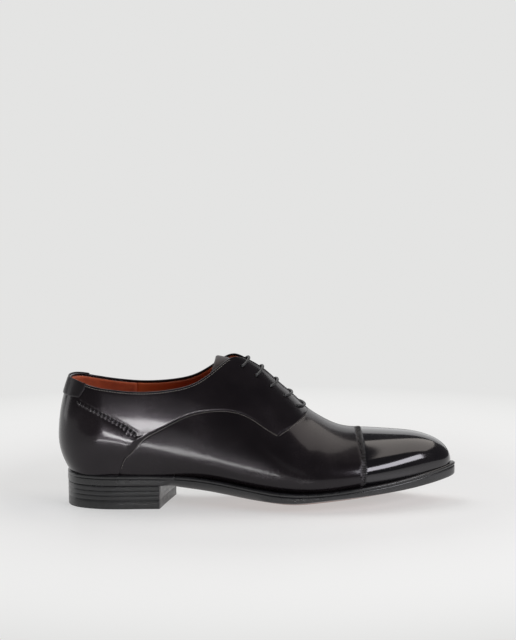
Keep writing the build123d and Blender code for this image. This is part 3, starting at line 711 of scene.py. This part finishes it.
def pinch_lift(p, side):
    """The pinched seam: a ridge, cut by each stitch, with a crease and a soft swelling below it."""
    line = pinch_lines[side]
    d, u = nearest(p, line)
    d = np.where(p[..., 2] < np.interp(p[..., 0], line[:, 0], line[:, 2]), -d, d)
    total = lengths(line)[-1]
    ends = smooth(u / 4) * smooth((total - u) / 4)
    ridge = 0.75 * np.exp(-(d / 1.0) ** 2)
    phase = ((u + 0.55 * d) / PINCH_PITCH) % 1 - 0.5
    cut = 0.9 * np.exp(-(phase * PINCH_PITCH / 0.5) ** 2) * np.exp(-(d / 1.3) ** 2)
    crease = 0.15 * np.exp(-((d - 1.9) / 0.7) ** 2)
    below = np.maximum(-d, 0)
    reach = smooth((u - 8) / 22)
    puff = 2.0 * reach * (below / 18) * np.exp(1 - below / 18) * smooth((p[..., 2] - 26) / 30)
    return ends * (ridge - cut - crease) + puff


def quarter_lift(p, s, v, side, edge):
    """Quarter: sunk along the vamp's edge, rolled and creased at its own edge, closed at the back seam."""
    d = seam_distance(p)
    lift = wobble(p) - 0.35 * (1 - smooth(d / 0.7))
    lift = lift - rounded(edge * 0.9, 0.75) - 0.12 * np.exp(-((edge - 1.9) / 0.35) ** 2)
    lift = lift + np.where(d > 0, pinch_lift(p, side) * smooth(d / 4), 0)
    back = np.where(p[..., 0] < -30, np.abs(p[..., 1]), 99)
    return lift - 0.35 * np.exp(-(back / 0.4) ** 2) + 0.12 * np.exp(-((back - 1.1) / 0.7) ** 2)


def near_pinch(p):
    near = np.zeros(len(p), bool)
    for line in pinch_lines.values():
        near |= nearest(p, line)[0] < 3.6
    return near


def quarter(side, name):
    s = np.concatenate([np.linspace(-HEEL_ARC, 0, 46)[:-1], np.arange(0, station(147.4), 1.5)])
    x = s + HEEL_AXIS
    under = np.minimum(seam_at(x - 5), seam_at(x + 5)) - 4
    low = np.where(x < 6, LOW_EDGE, np.maximum(level(s, under), LOW_EDGE))
    low = np.where(x > 143, np.maximum(low, level(s, seam_at(x)) - 0.05), low)
    high = quarter_top(s, side)
    low = np.minimum(low, high - 0.04)
    v, edge = rows(s, low, high, side, 44)
    return panel(name, [(side, columns(s, v), v, edge)], black, quarter_lift, LEATHER + 0.4, near_pinch, 2)


def drill(obj, side):
    """Punch the eyelet holes."""
    made = []
    for index in range(len(EYELETS)):
        centre, normal = eyelet(index, side)
        made.append(tube(centre + normal * np.linspace(-4, 3, 3)[:, None], HOLE_R, 20))
    cutter = to_object("cutter", *merge(made), black)
    holes = obj.modifiers.new("holes", "BOOLEAN")
    holes.object = cutter
    holes.operation = "DIFFERENCE"
    holes.solver = "EXACT"
    graph = bpy.context.evaluated_depsgraph_get()
    mesh = bpy.data.meshes.new_from_object(obj.evaluated_get(graph))
    obj.modifiers.clear()
    obj.data = mesh
    bpy.data.objects.remove(cutter)


def eyelet(index, side):
    """Centre and outward normal of an eyelet."""
    x, z = EYELETS[index]
    s, v = station(x), level(station(x), z)
    return wall(s, v, side).reshape(3), normals(s, v, side).reshape(3)


GIRTH_V = np.linspace(-1.2, 1, 200)
GIRTH = {side: lengths(wall(np.full(200, station(188.0)), GIRTH_V, side)) for side in (LATERAL, MEDIAL)}
PLEAT = 1.35                   # from one stitch of the cap to the next
CAP_X = 187.0                  # the column that is bent onto the cap seam


def girth(v, side):
    """Length round the vamp, from its lower edge, at the cap."""
    return np.interp(v, GIRTH_V, GIRTH[side])


def vamp_lift(p, s, v, side, edge):
    """Vamp: rounded and creased along its seam, sunk under the cap, pleated by the cap's stitches."""
    behind = cap_x(p[..., 2]) - p[..., 0]
    seam = np.where(p[..., 0] < 147, -seam_distance(p), 99)
    lift = wobble(p) - rounded(np.maximum(seam, 0), 0.16) - 0.1 * np.exp(-((seam - 1.1) / 0.3) ** 2)
    lift = lift - 0.6 * smooth((0.5 - behind) / 0.8)
    teeth = np.abs(np.sin(np.pi * girth(v, side) / PLEAT))
    fade = np.exp(-((behind - 1.6) / 1.9) ** 2) * (behind > -1)
    return lift - 0.5 * (1 - teeth) * fade + 0.1 * fade


def bend_to_cap(s, z, start, end):
    """Columns shift so that the one drawn at end follows the cap seam."""
    x = s + HEEL_AXIS
    return station(x + (cap_x(z) - CAP_X) * smooth((x - start) / (end - start)))


def vamp():
    parts = []
    for side in (LATERAL, MEDIAL):
        x = np.concatenate([np.arange(3.4, VAMP_POINT[0], 1.5), [VAMP_POINT[0]], np.arange(124.8, 144, 1.5),
                            np.arange(144.2, 148, 0.3), np.arange(149, 182, 1.5), np.arange(182.5, 188, 0.6),
                            [191, 194]])
        s = station(x)
        high = np.where(x < 147, seam_v(s), 1.0)
        v, edge = rows(s, np.full_like(s, LOW_EDGE), np.maximum(high, LOW_EDGE + 0.02), side, 44)
        grid = columns(s, v)
        z = wall(grid, v, side)[..., 2]
        parts.append((side, np.where(x[:, None] > 150, bend_to_cap(grid, z, 150, CAP_X), grid), v, edge))
    return panel("vamp_calf", parts, black, vamp_lift, LEATHER + 0.3, lambda p: near_cap(p, -5.5, 0.4), 3)


def near_cap(p, low, high):
    d = p[..., 0] - cap_x(p[..., 2])
    return (d > low) & (d < high) & (p[..., 0] > 150)


def cap_lift(p, s, v, side, edge):
    """Toe cap: a rounded edge drawn in by each stitch."""
    ahead = p[..., 0] - cap_x(p[..., 2])
    teeth = np.abs(np.sin(np.pi * girth(v, side) / PLEAT))
    lift = wobble(p) * 0.5 - rounded(np.maximum(ahead, 0), 0.3)
    return lift - 0.34 * (1 - teeth) * np.exp(-(ahead / 1.1) ** 2)


def toe_cap():
    parts = []
    start = toe_warp(CAP_X)
    dense = start + 0.035
    s = toe_stations(np.concatenate([np.linspace(start, dense, 14)[:-1], np.linspace(dense, np.pi / 2, 62)]))
    for side in (LATERAL, MEDIAL):
        v, edge = rows(s, np.full_like(s, LOW_EDGE), np.ones_like(s), side, 62)
        grid = columns(s, v)
        z = wall(grid, v, side)[..., 2]
        share = smooth((LAST_STATION - grid) / (TOE_TIP - CAP_X))
        fade = np.exp(-((grid - station(CAP_X)) / 1.5) ** 2)
        teeth = 0.16 * np.cos(2 * np.pi * girth(v, side) / PLEAT) * fade
        parts.append((side, grid + (cap_x(z) - CAP_X) * share + teeth, v, edge))
    return panel("toe_cap_calf", parts, cap_black, cap_lift, LEATHER, lambda p: near_cap(p, -1, 3.5), 3)


quarters = {}
for side, name in ((LATERAL, "lateral_quarter"), (MEDIAL, "medial_quarter")):
    quarters[side] = quarter(side, name + "_calf")
    drill(quarters[side], side)
    rides(quarters[side], "rear", name)
vamp_obj = vamp()
bends(vamp_obj, "vamp", "vamp_backer")
cap_obj = toe_cap()
rides(cap_obj, "forepart", "toe_cap")


# ---- lining
GRIP_END = 22.0                # station where the heel grip stops
LINING_LOW = -0.98
LINING_DROP = 0.7 / 60         # how far, in v, the lining stays under the leather's edge


def side_lining(side, start, end, inner):
    """Lining of one side, with a rounded upper edge."""
    s = np.arange(start, end, 3.0)
    v, edge = rows(s, np.full_like(s, LINING_LOW), quarter_top(s, side) - LINING_DROP, side, 24)
    a = wall(columns(s, v), v, side, LEATHER + 0.45)
    b = wall(columns(s, v), v, side, inner)
    return sheet(a, b + (a - b) * (rounded(edge * 0.9, 0.8) / 1.3)[..., None], side > 0)


def vamp_lining(side):
    s = toe_stations(np.linspace(toe_warp(120.0), toe_warp(251.0), 50))
    behind_throat = s + HEEL_AXIS < 150
    top = np.where(behind_throat, seam_v(np.minimum(s, station(147))) - 0.02, 1.0)
    v = LINING_LOW + (top - LINING_LOW)[:, None] * np.linspace(0, 1, 30)
    return sheet(wall(columns(s, v), v, side, MID), wall(columns(s, v), v, side, WALL), side > 0)


for side, name in ((LATERAL, "lateral_quarter"), (MEDIAL, "medial_quarter")):
    lining = to_object(name + "_lining_calf", *side_lining(side, GRIP_END, station(146), WALL), cognac)
    rides(lining, "rear", name + "_lining", name + "_backer")
halves = [side_lining(side, -HEEL_ARC, GRIP_END + 1.5, WALL + 0.25) for side in (LATERAL, MEDIAL)]
rides(to_object("heel_grip_suede", *merge(halves), suede), "rear", "heel_grip")
halves = [vamp_lining(side) for side in (LATERAL, MEDIAL)]
bends(to_object("vamp_lining_calf", *merge(halves), cognac), "vamp_lining")


# ---- heel tab, a strap over the top of the back seam
TAB_END = -16.5                # station where the tab stops on either side
TAB_LOW = 84.6                 # height of its lower edge


def tab_bottom(s):
    return level(s, TAB_LOW + 6 * smooth((s + 23) / 6.5) ** 2)


def tab_lift(p, s, v, side, edge):
    """The tab stands proud of the quarters, with rounded edges all round."""
    gap = np.minimum(np.minimum((v - tab_bottom(s)) * 70, (TAB_END - s) * 0.65), edge + 0.3)
    return 0.95 - rounded(np.maximum(gap, 0), 0.7)


def heel_tab():
    parts = []
    s = np.linspace(-HEEL_ARC, TAB_END, 44)
    for side in (LATERAL, MEDIAL):
        v, edge = rows(s, tab_bottom(s), quarter_top(s, side) + 0.004, side, 14)
        parts.append((side, columns(s, v), v, edge))
    return panel("heel_tab_calf", parts, tab_black, tab_lift, -0.02)


rides(heel_tab(), "rear", "heel_tab")


# ---- stitching
def row_on_upper(s, v, side, lift, shift, **stitches):
    line, up = surface_line(s, v, side, lift, shift)
    return stitch_row(line, up, **stitches)


def grey_rows(side):
    """The thread that shows: vamp seam, throat and topline."""
    seam = station(np.linspace(4.3, VAMP_POINT[0] - 0.3, 400))
    throat = station(np.linspace(VAMP_POINT[0] + 0.6, 145.2, 120))
    top = np.linspace(-HEEL_ARC + 24, station(86), 500)
    return (row_on_upper(seam, seam_v(seam), side, 0.06, 0.9, pitch=1.9, radius=0.17)
            + row_on_upper(throat, seam_v(throat), side, 0.06, 0.9, pitch=1.7, radius=0.16)
            + row_on_upper(top, quarter_top(top, side), side, 0.0, 1.7, pitch=2.0, radius=0.23, fill=0.66))


def black_rows(side):
    """Facing, and the slanted stitches that gather the pinched seam."""
    s = np.linspace(station(92), station(145), 200)
    facing = row_on_upper(s, quarter_top(s, side), side, -0.1, 1.9, pitch=1.5, radius=0.18)
    line = pinch_lines[side]
    up = (line - np.array([-4, 0, 66])) * np.array([1, 1, 0.1])
    up /= np.linalg.norm(up, axis=1, keepdims=True)
    return facing + stitch_row(line + up * 0.2, up, PINCH_PITCH, 0.2, 0.85, 1.05 * side, 0.15)


def cap_row(side):
    """Hand stitches that run back from the cap onto the vamp, uneven in length."""
    v = np.linspace(-0.95, 0.999, 300)
    z = wall(station(CAP_X + 1), v, side)[:, 2]
    s = station(cap_x(z))
    front_line = surface_line(s + 0.9, v, side, 0.05)[0]
    back_line, up = surface_line(s - 2.6, v, side)
    run = girth(v, side)
    made = []
    for u in np.arange(run[0] + PLEAT, run[-1], PLEAT):
        front = at_run(u, run, front_line)
        back = at_run(u + 0.35, run, back_line)
        share = 0.62 + 0.5 * abs(np.sin(u * 7.3))
        made.append(stitch(front, front + (back - front) * share, at_run(u, run, up), 0.13, 0.08))
    return made


for name, body, one_side, material in (("seam_thread", "rear", grey_rows, thread_grey),
                                       ("upper_thread", "rear", black_rows, thread_black),
                                       ("cap_thread", "forepart", cap_row, thread_cap)):
    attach(to_object(name, *merge(one_side(LATERAL) + one_side(MEDIAL)), material), body)


# ---- tongue and lace
TONGUE_ROOT = 156.0
TONGUE_THICK = 1.9
LACE_R = 0.98
LACE_LEVEL = (WALL + TONGUE_LEVEL) / 2
BAR_BOW = 4.4                  # how far a bar bows towards the toe


def tongue():
    """Tongue under the facings: narrow at its root, with a rounded free end and thinned edges."""
    down, over = np.meshgrid(np.linspace(0, 1, 60), np.linspace(-1, 1, 41), indexing="ij")
    half = 8 + 14.5 * smooth(down * 1.15)
    tip = 76.3 - 5.0 * (over * 22 / 18) ** 2 + 9 * smooth((np.abs(over) - 0.8) / 0.2)
    x = TONGUE_ROOT + (tip - TONGUE_ROOT) * down
    w = np.where(over < 0, lateral_w(x), medial_w(x)) - TONGUE_LEVEL
    v = np.arccos(np.clip(np.abs(over) * half / w, 0, 1)) * 2 / np.pi
    near = np.minimum(np.minimum((1 - np.abs(over)) * half, (1 - down) * 80), 3)
    layers = []
    for depth, sign in ((TONGUE_LEVEL, 1), (TONGUE_LEVEL + TONGUE_THICK, -1)):
        s = station(x)
        points = np.where((over < 0)[..., None], wall(s, v, LATERAL, depth), wall(s, v, MEDIAL, depth))
        points[..., 2] -= rounded(near, 0.9) * sign
        layers.append(points)
    return to_object("tongue_leather", *sheet(*layers), tongue_hide)


rides(tongue(), "tongue", "tongue", "tongue_lining")


def braid(a, run):
    return 1 + 0.07 * np.cos(4 * a + run * 3.3) * np.cos(4 * a - run * 3.3)


def chaikin(p):
    """Cut the corners of a polyline."""
    a = p[:-1] * 0.75 + p[1:] * 0.25
    b = p[:-1] * 0.25 + p[1:] * 0.75
    return np.vstack([p[:1], np.stack([a, b], 1).reshape(-1, p.shape[1]), p[-1:]])


def lace_leg(index, side):
    """The cord through one eyelet, from inside out."""
    centre, normal = eyelet(index, side)
    return [centre - normal * LACE_LEVEL * 0.78, centre - normal * 0.6, centre + normal * 0.75]


def lace_bar(start, stop):
    """The cord across the gap, lying on the facings."""
    bar = []
    for t in np.linspace(0.1, 0.9, 7):
        x, y = (start + (stop - start) * t)[:2]
        x += BAR_BOW * np.sin(np.pi * t)
        side = LATERAL if y < ridge_y(x) else MEDIAL
        tries = np.linspace(0.5, 1, 200)
        v = tries[np.abs(wall(station(x), tries, side)[:, 1] - y).argmin()]
        z = wall(station(x), v, side)[2]
        out = normals(station(x), min(v, 0.99), side) * 0.95
        bar.append(np.array([x + out[0], y, z + out[2]]))
    return bar


def lace():
    """One cord, crossing from side to side through every pair of eyelets."""
    points = []
    side = LATERAL
    for index in range(len(EYELETS)):
        start, stop = lace_leg(index, side), lace_leg(index, -side)
        points += [*start, *lace_bar(start[2], stop[2]), *stop[::-1]]
        side = -side
    path = chaikin(chaikin(chaikin(np.array(points))))
    path = resample(path, int(lengths(path)[-1] / 0.4))
    return to_object("lace_cord", *tube(path, LACE_R, 16, braid), lace_wax)


rides(lace(), "rear", "lace")

# ---- sole
SOLE_PLAN = [(-37.4, 0), (-32, -20), (-10, -32.3), (20, -32.4), (50, -32.4), (80, -36.5), (110, -45),
             (135, -50), (160, -50), (185, -45.5), (210, -36), (235, -21), (250, -8), (259.8, 8), (251, 20),
             (230, 31), (205, 42), (180, 49), (155, 50.5), (135, 46.5), (110, 36), (80, 26.5), (50, 27),
             (20, 31.4), (-10, 32.3), (-32, 20)]
sole_bottom = Curve((30, 17.7), (40, 17), (48, 15.5), (73, 10.5), (94, 6.3), (114, 2.5), (135, 0), (155, 1.2),
                    (178, 4), (200, 7.6), (223, 12.2), (240, 16), (262, 20.5))
crown = Curve((30, 0.0001), (48, 0.001), (64, 0.0025), (94, 0.0029), (135, 0.0031), (262, 0.0034))
WELT = 2.3
SEAT_Z = 17.7                  # underside of the sole at the heel seat
TOP_LIFT = 7.0
BREAST_X = 40.5                # front of the heel, on the middle line
WELT_START = 45.0
SEAT_END = 38.0

outline = closed_curve(SOLE_PLAN, 520)
tangent = np.roll(outline, -1, 0) - np.roll(outline, 1, 0)
tangent /= np.linalg.norm(tangent, axis=1, keepdims=True)
inward = np.stack([-tangent[:, 1], tangent[:, 0]], 1)
spine_y = np.interp(outline[:, 0], [-40, 80, 150, 260], [0, -5, 0, 8])
spine = np.stack([np.clip(outline[:, 0], -6, 214), spine_y], 1)
seat_share = 1 - smooth((outline[:, 0] - SEAT_END + 2) / 8)
top_z = feather(outline[:, 0])


def inset_outline(inset):
    return outline + inward * np.broadcast_to(inset, (len(outline),))[:, None]


def to_spine(t, start):
    """Outline shrunk by the share t towards the middle line."""
    return start + (spine - start) * t


def bottom_z(xy):
    """Underside of the sole: flat on the heel, crowned in front of it."""
    x = np.maximum(xy[:, 0], 30)
    return np.where(xy[:, 0] < SEAT_END, SEAT_Z, sole_bottom(x) + crown(x) * xy[:, 1] ** 2)


def xyz(xy, z):
    return np.column_stack([xy, np.broadcast_to(z, (len(xy),))])


def round_pairs(n):
    """Neighbours in a ring of n."""
    return [(i, (i + 1) % n) for i in range(n)]


def skin(steps, m, across):
    """Quads over m rings: steps are neighbouring outline points, across are neighbouring rings."""
    return [[i * m + j, k * m + j, k * m + l, i * m + l] for i, k in steps for j, l in across]


def ring_object(name, rings, materials, run=None, first_edge=0):
    """Solid over rings that close on themselves, all the way round or over a capped run of outline points.
    Faces from the ring first_edge on take the last material."""
    n, m = len(rings[0]), len(rings)
    faces = skin(zip(run[:-1], run[1:]) if run else round_pairs(n), m, round_pairs(m))
    if run:
        faces.append([run[0] * m + j for j in range(m)][::-1])
        faces.append([run[-1] * m + j for j in range(m)])
    obj = to_object(name, np.stack(rings, 1).reshape(-1, 3), faces, materials)
    index = [len(materials) - 1 if f[0] % m >= first_edge else 0 for f in faces]
    obj.data.polygons.foreach_set("material_index", np.array(index, np.int32))
    b = bmesh.new()
    b.from_mesh(obj.data)
    bmesh.ops.remove_doubles(b, verts=b.verts, dist=0.00001)
    bmesh.ops.delete(b, geom=[v for v in b.verts if not v.link_faces], context="VERTS")
    bmesh.ops.recalc_face_normals(b, faces=b.faces)
    b.to_mesh(obj.data)
    b.free()
    return obj


def outsole():
    """Tread, bevelled waist, edge and upper face."""
    bevel = (1 - smooth((outline[:, 0] - 104) / 13)) * (1 - seat_share)
    rings = []
    for t in (1.0, 0.75, 0.5, 0.3, 0.15, 0.06):
        xy = to_spine(t, inset_outline(1.2 + 3.5 * bevel))
        rings.append(xyz(xy, bottom_z(xy)))
    for f, soft in ((0.0, 1.0), (0.03, 0.55), (0.09, 0.2), (0.2, 0.03), (0.4, 0), (0.6, 0), (0.8, 0),
                    (0.92, 0.1), (1.0, 0.5)):
        xy = inset_outline(0.96 * soft + 5.2 * bevel * (1 - f) ** 2 + 0.15)
        low = bottom_z(xy)
        rings.append(xyz(xy, low + (top_z - WELT - 0.05 - low) * f))
    for t in (0.25, 0.6, 1.0):
        xy = to_spine(t, inset_outline(1.0))
        rings.append(xyz(xy, feather(xy[:, 0]) - WELT - 0.05))
    return ring_object("outsole_leather", rings, [tread, sole_edge], first_edge=5)


def one_run(chosen):
    """Outline points where chosen is true, starting after the gap."""
    points = np.flatnonzero(chosen).tolist()
    start = next((k for k in range(1, len(points)) if points[k] - points[k - 1] > 1), 0)
    return points[start:] + points[:start]


def strip(name, run, thick, wide, out):
    """Strip of leather round the sole, with a rounded outer edge."""
    rings = []
    for inset, f in ((wide, 0), (0.35, 0), (0.1, 0.1), (0.05, 0.35), (0.05, 0.62), (0.3, 0.9), (0.8, 1.0),
                     (2.0, 1.04), (wide, 1.0)):
        rings.append(xyz(inset_outline(inset + out), top_z - thick + thick * f))
    return ring_object(name, rings, [welt_ink], run)


sole = outsole()
bends(sole, "outsole_rear", "outsole_forepart")
welt = strip("welt_strip", one_run(outline[:, 0] > WELT_START), WELT, 9.0, 0.0)
bends(welt, "welt_rear", "welt_forepart")
rand = strip("seat_rand_strip", one_run(outline[:, 0] <= WELT_START + 1.2), WELT + 0.6, 8.0, 0.15)
rides(rand, "rear", "seat_rand")


# Insole and sock
def floor_sheet(name, s, low, high, inset, material):
    """Sheet across the bottom of the shoe between two heights over the feather line, padded in the middle."""
    a, b = wall(s, -1.0, LATERAL, inset), wall(s, -1.0, MEDIAL, inset)
    t = np.linspace(0, 1, 17)[None, :, None]
    flat = a[:, None] * (1 - t) + b[:, None] * t
    base = feather(flat[..., 0])
    top = np.dstack([flat[..., :2], base + high + 0.25 * np.sin(np.pi * t[..., 0])])
    under = np.dstack([flat[..., :2], base + low])
    return to_object(name, *sheet(top, under), material, 40)


round_heel = np.linspace(-HEEL_ARC, -1, 24)
s = np.concatenate([round_heel, toe_stations(np.linspace(0, toe_warp(250), 60))])
bends(floor_sheet("insole_board", s, 0.3, 6.0, WALL + 0.3, insole_tan), "insole_rear", "insole_forepart")
s = np.concatenate([round_heel, toe_stations(np.linspace(0, toe_warp(70), 30))])
rides(floor_sheet("heel_sock_calf", s, 5.9, 7.0, WALL + 0.6, sock_tan), "rear", "heel_sock")

# Heel lifts, with a front that is hollowed a little and slants forward towards the inner side
BREAST = np.polyfit((-60, 0, 60), (BREAST_X - 10.5, BREAST_X, BREAST_X + 13.5), 2)
STACK = (0.45, 0.5, 0.55)      # insets of the leather lifts, from the seat down
TOP_INSET = 0.65


def heel_outline(inset):
    """The sole's outline behind the breast, closed by the breast."""
    xy = inset_outline(inset)
    side = xy[one_run(xy[:, 0] < np.polyval(BREAST, xy[:, 1]) - inset)]
    y = np.linspace(side[-1, 1], side[0, 1], 26)[1:-1]
    front = np.stack([np.polyval(BREAST, y) - inset, y], 1)
    return resample(np.vstack([side, front, side[:1]]), 241)[:-1]


def lift_block(name, inset, low, high, material):
    """One layer of the heel, with softened edges."""
    soft = 0.07
    rings = []
    for extra, z in ((soft, low + 0.02), (soft * 0.3, low + soft * 0.3), (0, low + soft), (0, high - soft),
                     (soft * 0.3, high - soft * 0.3), (soft, high - 0.02)):
        rings.append(xyz(heel_outline(inset + extra), z))
    n, m = len(rings[0]), len(rings)
    faces = skin(round_pairs(n), m, round_pairs(m)[:-1])
    faces.append([i * m for i in range(n)][::-1])
    faces.append([i * m + m - 1 for i in range(n)])
    return to_object(name, np.stack(rings, 1).reshape(-1, 3), faces, material, 35)


step = (SEAT_Z - TOP_LIFT) / len(STACK)
bottom = [sole, welt, rand]
for k, inset in enumerate(STACK):
    block = lift_block(f"lift_leather_{k + 1}", inset, SEAT_Z - (k + 1) * step, SEAT_Z - k * step, heel_edge)
    rides(block, "rear", f"heel_lift_{k + 1}")
    bottom.append(block)
block = lift_block("top_piece_rubber", TOP_INSET, 0.0, TOP_LIFT, rubber)
rides(block, "rear", "top_lift")
bottom.append(block)

# ---- parts kept from the CAD, all of them inside
looks = {"blind_eyelets": brass, "heel_nails": brass, "shank": steel, "waist_filler": cork,
         "cork_filler": cork, "toe_puff": stiffener, "heel_counter": stiffener, "lace_aglets": aglet_film}
for name, look in looks.items():
    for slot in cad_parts[name].material_slots:
        slot.material = look

# ---- stage, light, camera
BACKDROP = (0.775, 0.775, 0.768)


def studio_floor():
    """Pale floor that fades into a glow of the backdrop's colour, so no horizon shows. The glow is painted
    light: near the shoe it is mixed with the lit floor and made stronger, a painted pool of light.
    """
    n = Nodes("floor_pale")
    grain = n.noise(9, 2)
    n.set(Base_Color=n.ramp(grain, (0.0, (0.79, 0.79, 0.79)), (1.0, (0.83, 0.83, 0.83))), Roughness=0.32,
          Specular_IOR_Level=0.35)
    # painted light: the floor glows in the backdrop's colour though it is no lamp
    glow = n.add("ShaderNodeEmission", Color=(*BACKDROP, 1))
    spot = n.add("ShaderNodeVectorMath", {0: n.place}, operation="SUBTRACT")
    spot.inputs[1].default_value = (0.11, 0.05, 0)     # under the middle of the shoe
    reach = n.add("ShaderNodeVectorMath", {0: spot.outputs[0]}, operation="LENGTH")
    fade = n.span(reach.outputs["Value"], 0.36, 1.0, 0.2, 0.5)
    # painted pool of light: the glow is 1.6 times as strong near the shoe as far out
    n.tree.links.new(n.span(fade, 1.6, 1.0, 0.36, 1.0), glow.inputs["Strength"])
    mix = n.add("ShaderNodeMixShader", {"Fac": fade})
    n.tree.links.new(n.shader.outputs[0], mix.inputs[1])
    n.tree.links.new(glow.outputs[0], mix.inputs[2])
    n.tree.links.new(mix.outputs[0], n.tree.nodes["Material Output"].inputs["Surface"])
    return n.material


FLOOR_SIZE = 9000
corners = [(x * FLOOR_SIZE, y * FLOOR_SIZE, -0.05) for x, y in ((-1, -1), (1, -1), (1, 1), (-1, 1))]
floor = to_object("floor", corners, [(0, 1, 2, 3)], studio_floor())

world = bpy.data.worlds.new("studio")
world.use_nodes = True
sky = world.node_tree
seen = sky.nodes.new("ShaderNodeLightPath")
tint = sky.nodes.new("ShaderNodeMix")
tint.data_type = "RGBA"
tint.inputs["A"].default_value = (0.09, 0.09, 0.095, 1)
tint.inputs["B"].default_value = (*BACKDROP, 1)
sky.links.new(seen.outputs["Is Camera Ray"], tint.inputs["Factor"])
sky.links.new(tint.outputs["Result"], sky.nodes["Background"].inputs["Color"])
bpy.context.scene.world = world
bpy.context.scene.view_settings.view_transform = "Standard"


def softbox(name, azimuth, elevation, distance, size, glow, colour=(1, 1, 1)):
    """Area light seen from the shoe at this azimuth (0 is the camera's side, positive towards the toe)."""
    data = bpy.data.lights.new(name, "AREA")
    data.shape = "RECTANGLE"
    data.size, data.size_y = size
    data.energy = glow * size[0] * size[1] * np.pi
    data.color = colour
    lamp = bpy.data.objects.new(name, data)
    bpy.context.scene.collection.objects.link(lamp)
    a, e = np.radians(azimuth), np.radians(elevation)
    aim = Vector((0.11, 0, 0.05))
    lamp.location = aim + Vector((np.sin(a) * np.cos(e), -np.cos(a) * np.cos(e), np.sin(e))) * distance
    lamp.rotation_euler = (aim - lamp.location).to_track_quat("-Z", "Y").to_euler()
    lamp.visible_camera = False
    return lamp


heel_glow = softbox("heel_glow", 0, 1, 1.6, (0.36, 0.16), 36)
softbox("front_fill", -2, 14, 1.7, (0.4, 0.3), 0.3)
softbox("toe_strip", 54, 23, 1.4, (0.9, 0.36), 9.0, (0.95, 0.95, 1.0))
overhead = softbox("overhead", 112, 54, 1.5, (1.4, 0.9), 1.7, (1.0, 0.94, 0.87))
softbox("heel_side", -112, 4, 1.3, (0.4, 0.5), 1.2)
softbox("top_fill", -140, 62, 1.7, (1.2, 1.0), 3.4)
card = softbox("floor_card", 0, 0, 1.0, (0.13, 0.06), 26)
card.location = (-0.02, -0.31, 0.002)          # on the table in front of the waist, facing up
card.rotation_euler = (np.pi, 0, 0)
behind = softbox("behind", 180, 22, 1.6, (2.4, 0.9), 0.9)


def flag(lamp, pieces):
    """Keep a light off some pieces, as a black flag would."""
    shaded = bpy.data.collections.new(lamp.name + "_flag")
    for piece in pieces:
        shaded.objects.link(piece)
    lamp.light_linking.receiver_collection = shaded
    for entry in shaded.collection_objects:
        entry.light_linking.link_state = "EXCLUDE"


flag(overhead, quarters.values())
flag(heel_glow, [vamp_obj, cap_obj, *bottom])
flag(card, bottom)
flag(behind, [floor])

camera_data = bpy.data.cameras.new("camera")
camera = bpy.data.objects.new("camera", camera_data)
bpy.context.scene.collection.objects.link(camera)
VIEW_WIDTH = 397.32 * MM        # of the picture where the shoe stands
DISTANCE = 2.2
ELEVATION = np.radians(8.0)
SHOE_DEPTH = 2.225              # the shoe sits a little behind the point aimed at
target = Vector((108.4, 0, 140.2)) * MM
back = Vector((0, -np.cos(ELEVATION), np.sin(ELEVATION)))
camera.location = target + back * DISTANCE
camera.rotation_euler = (target - camera.location).to_track_quat("-Z", "Y").to_euler()
camera_data.sensor_fit = "HORIZONTAL"
camera_data.angle = 2 * np.arctan(VIEW_WIDTH / 2 / SHOE_DEPTH)
bpy.context.scene.camera = camera
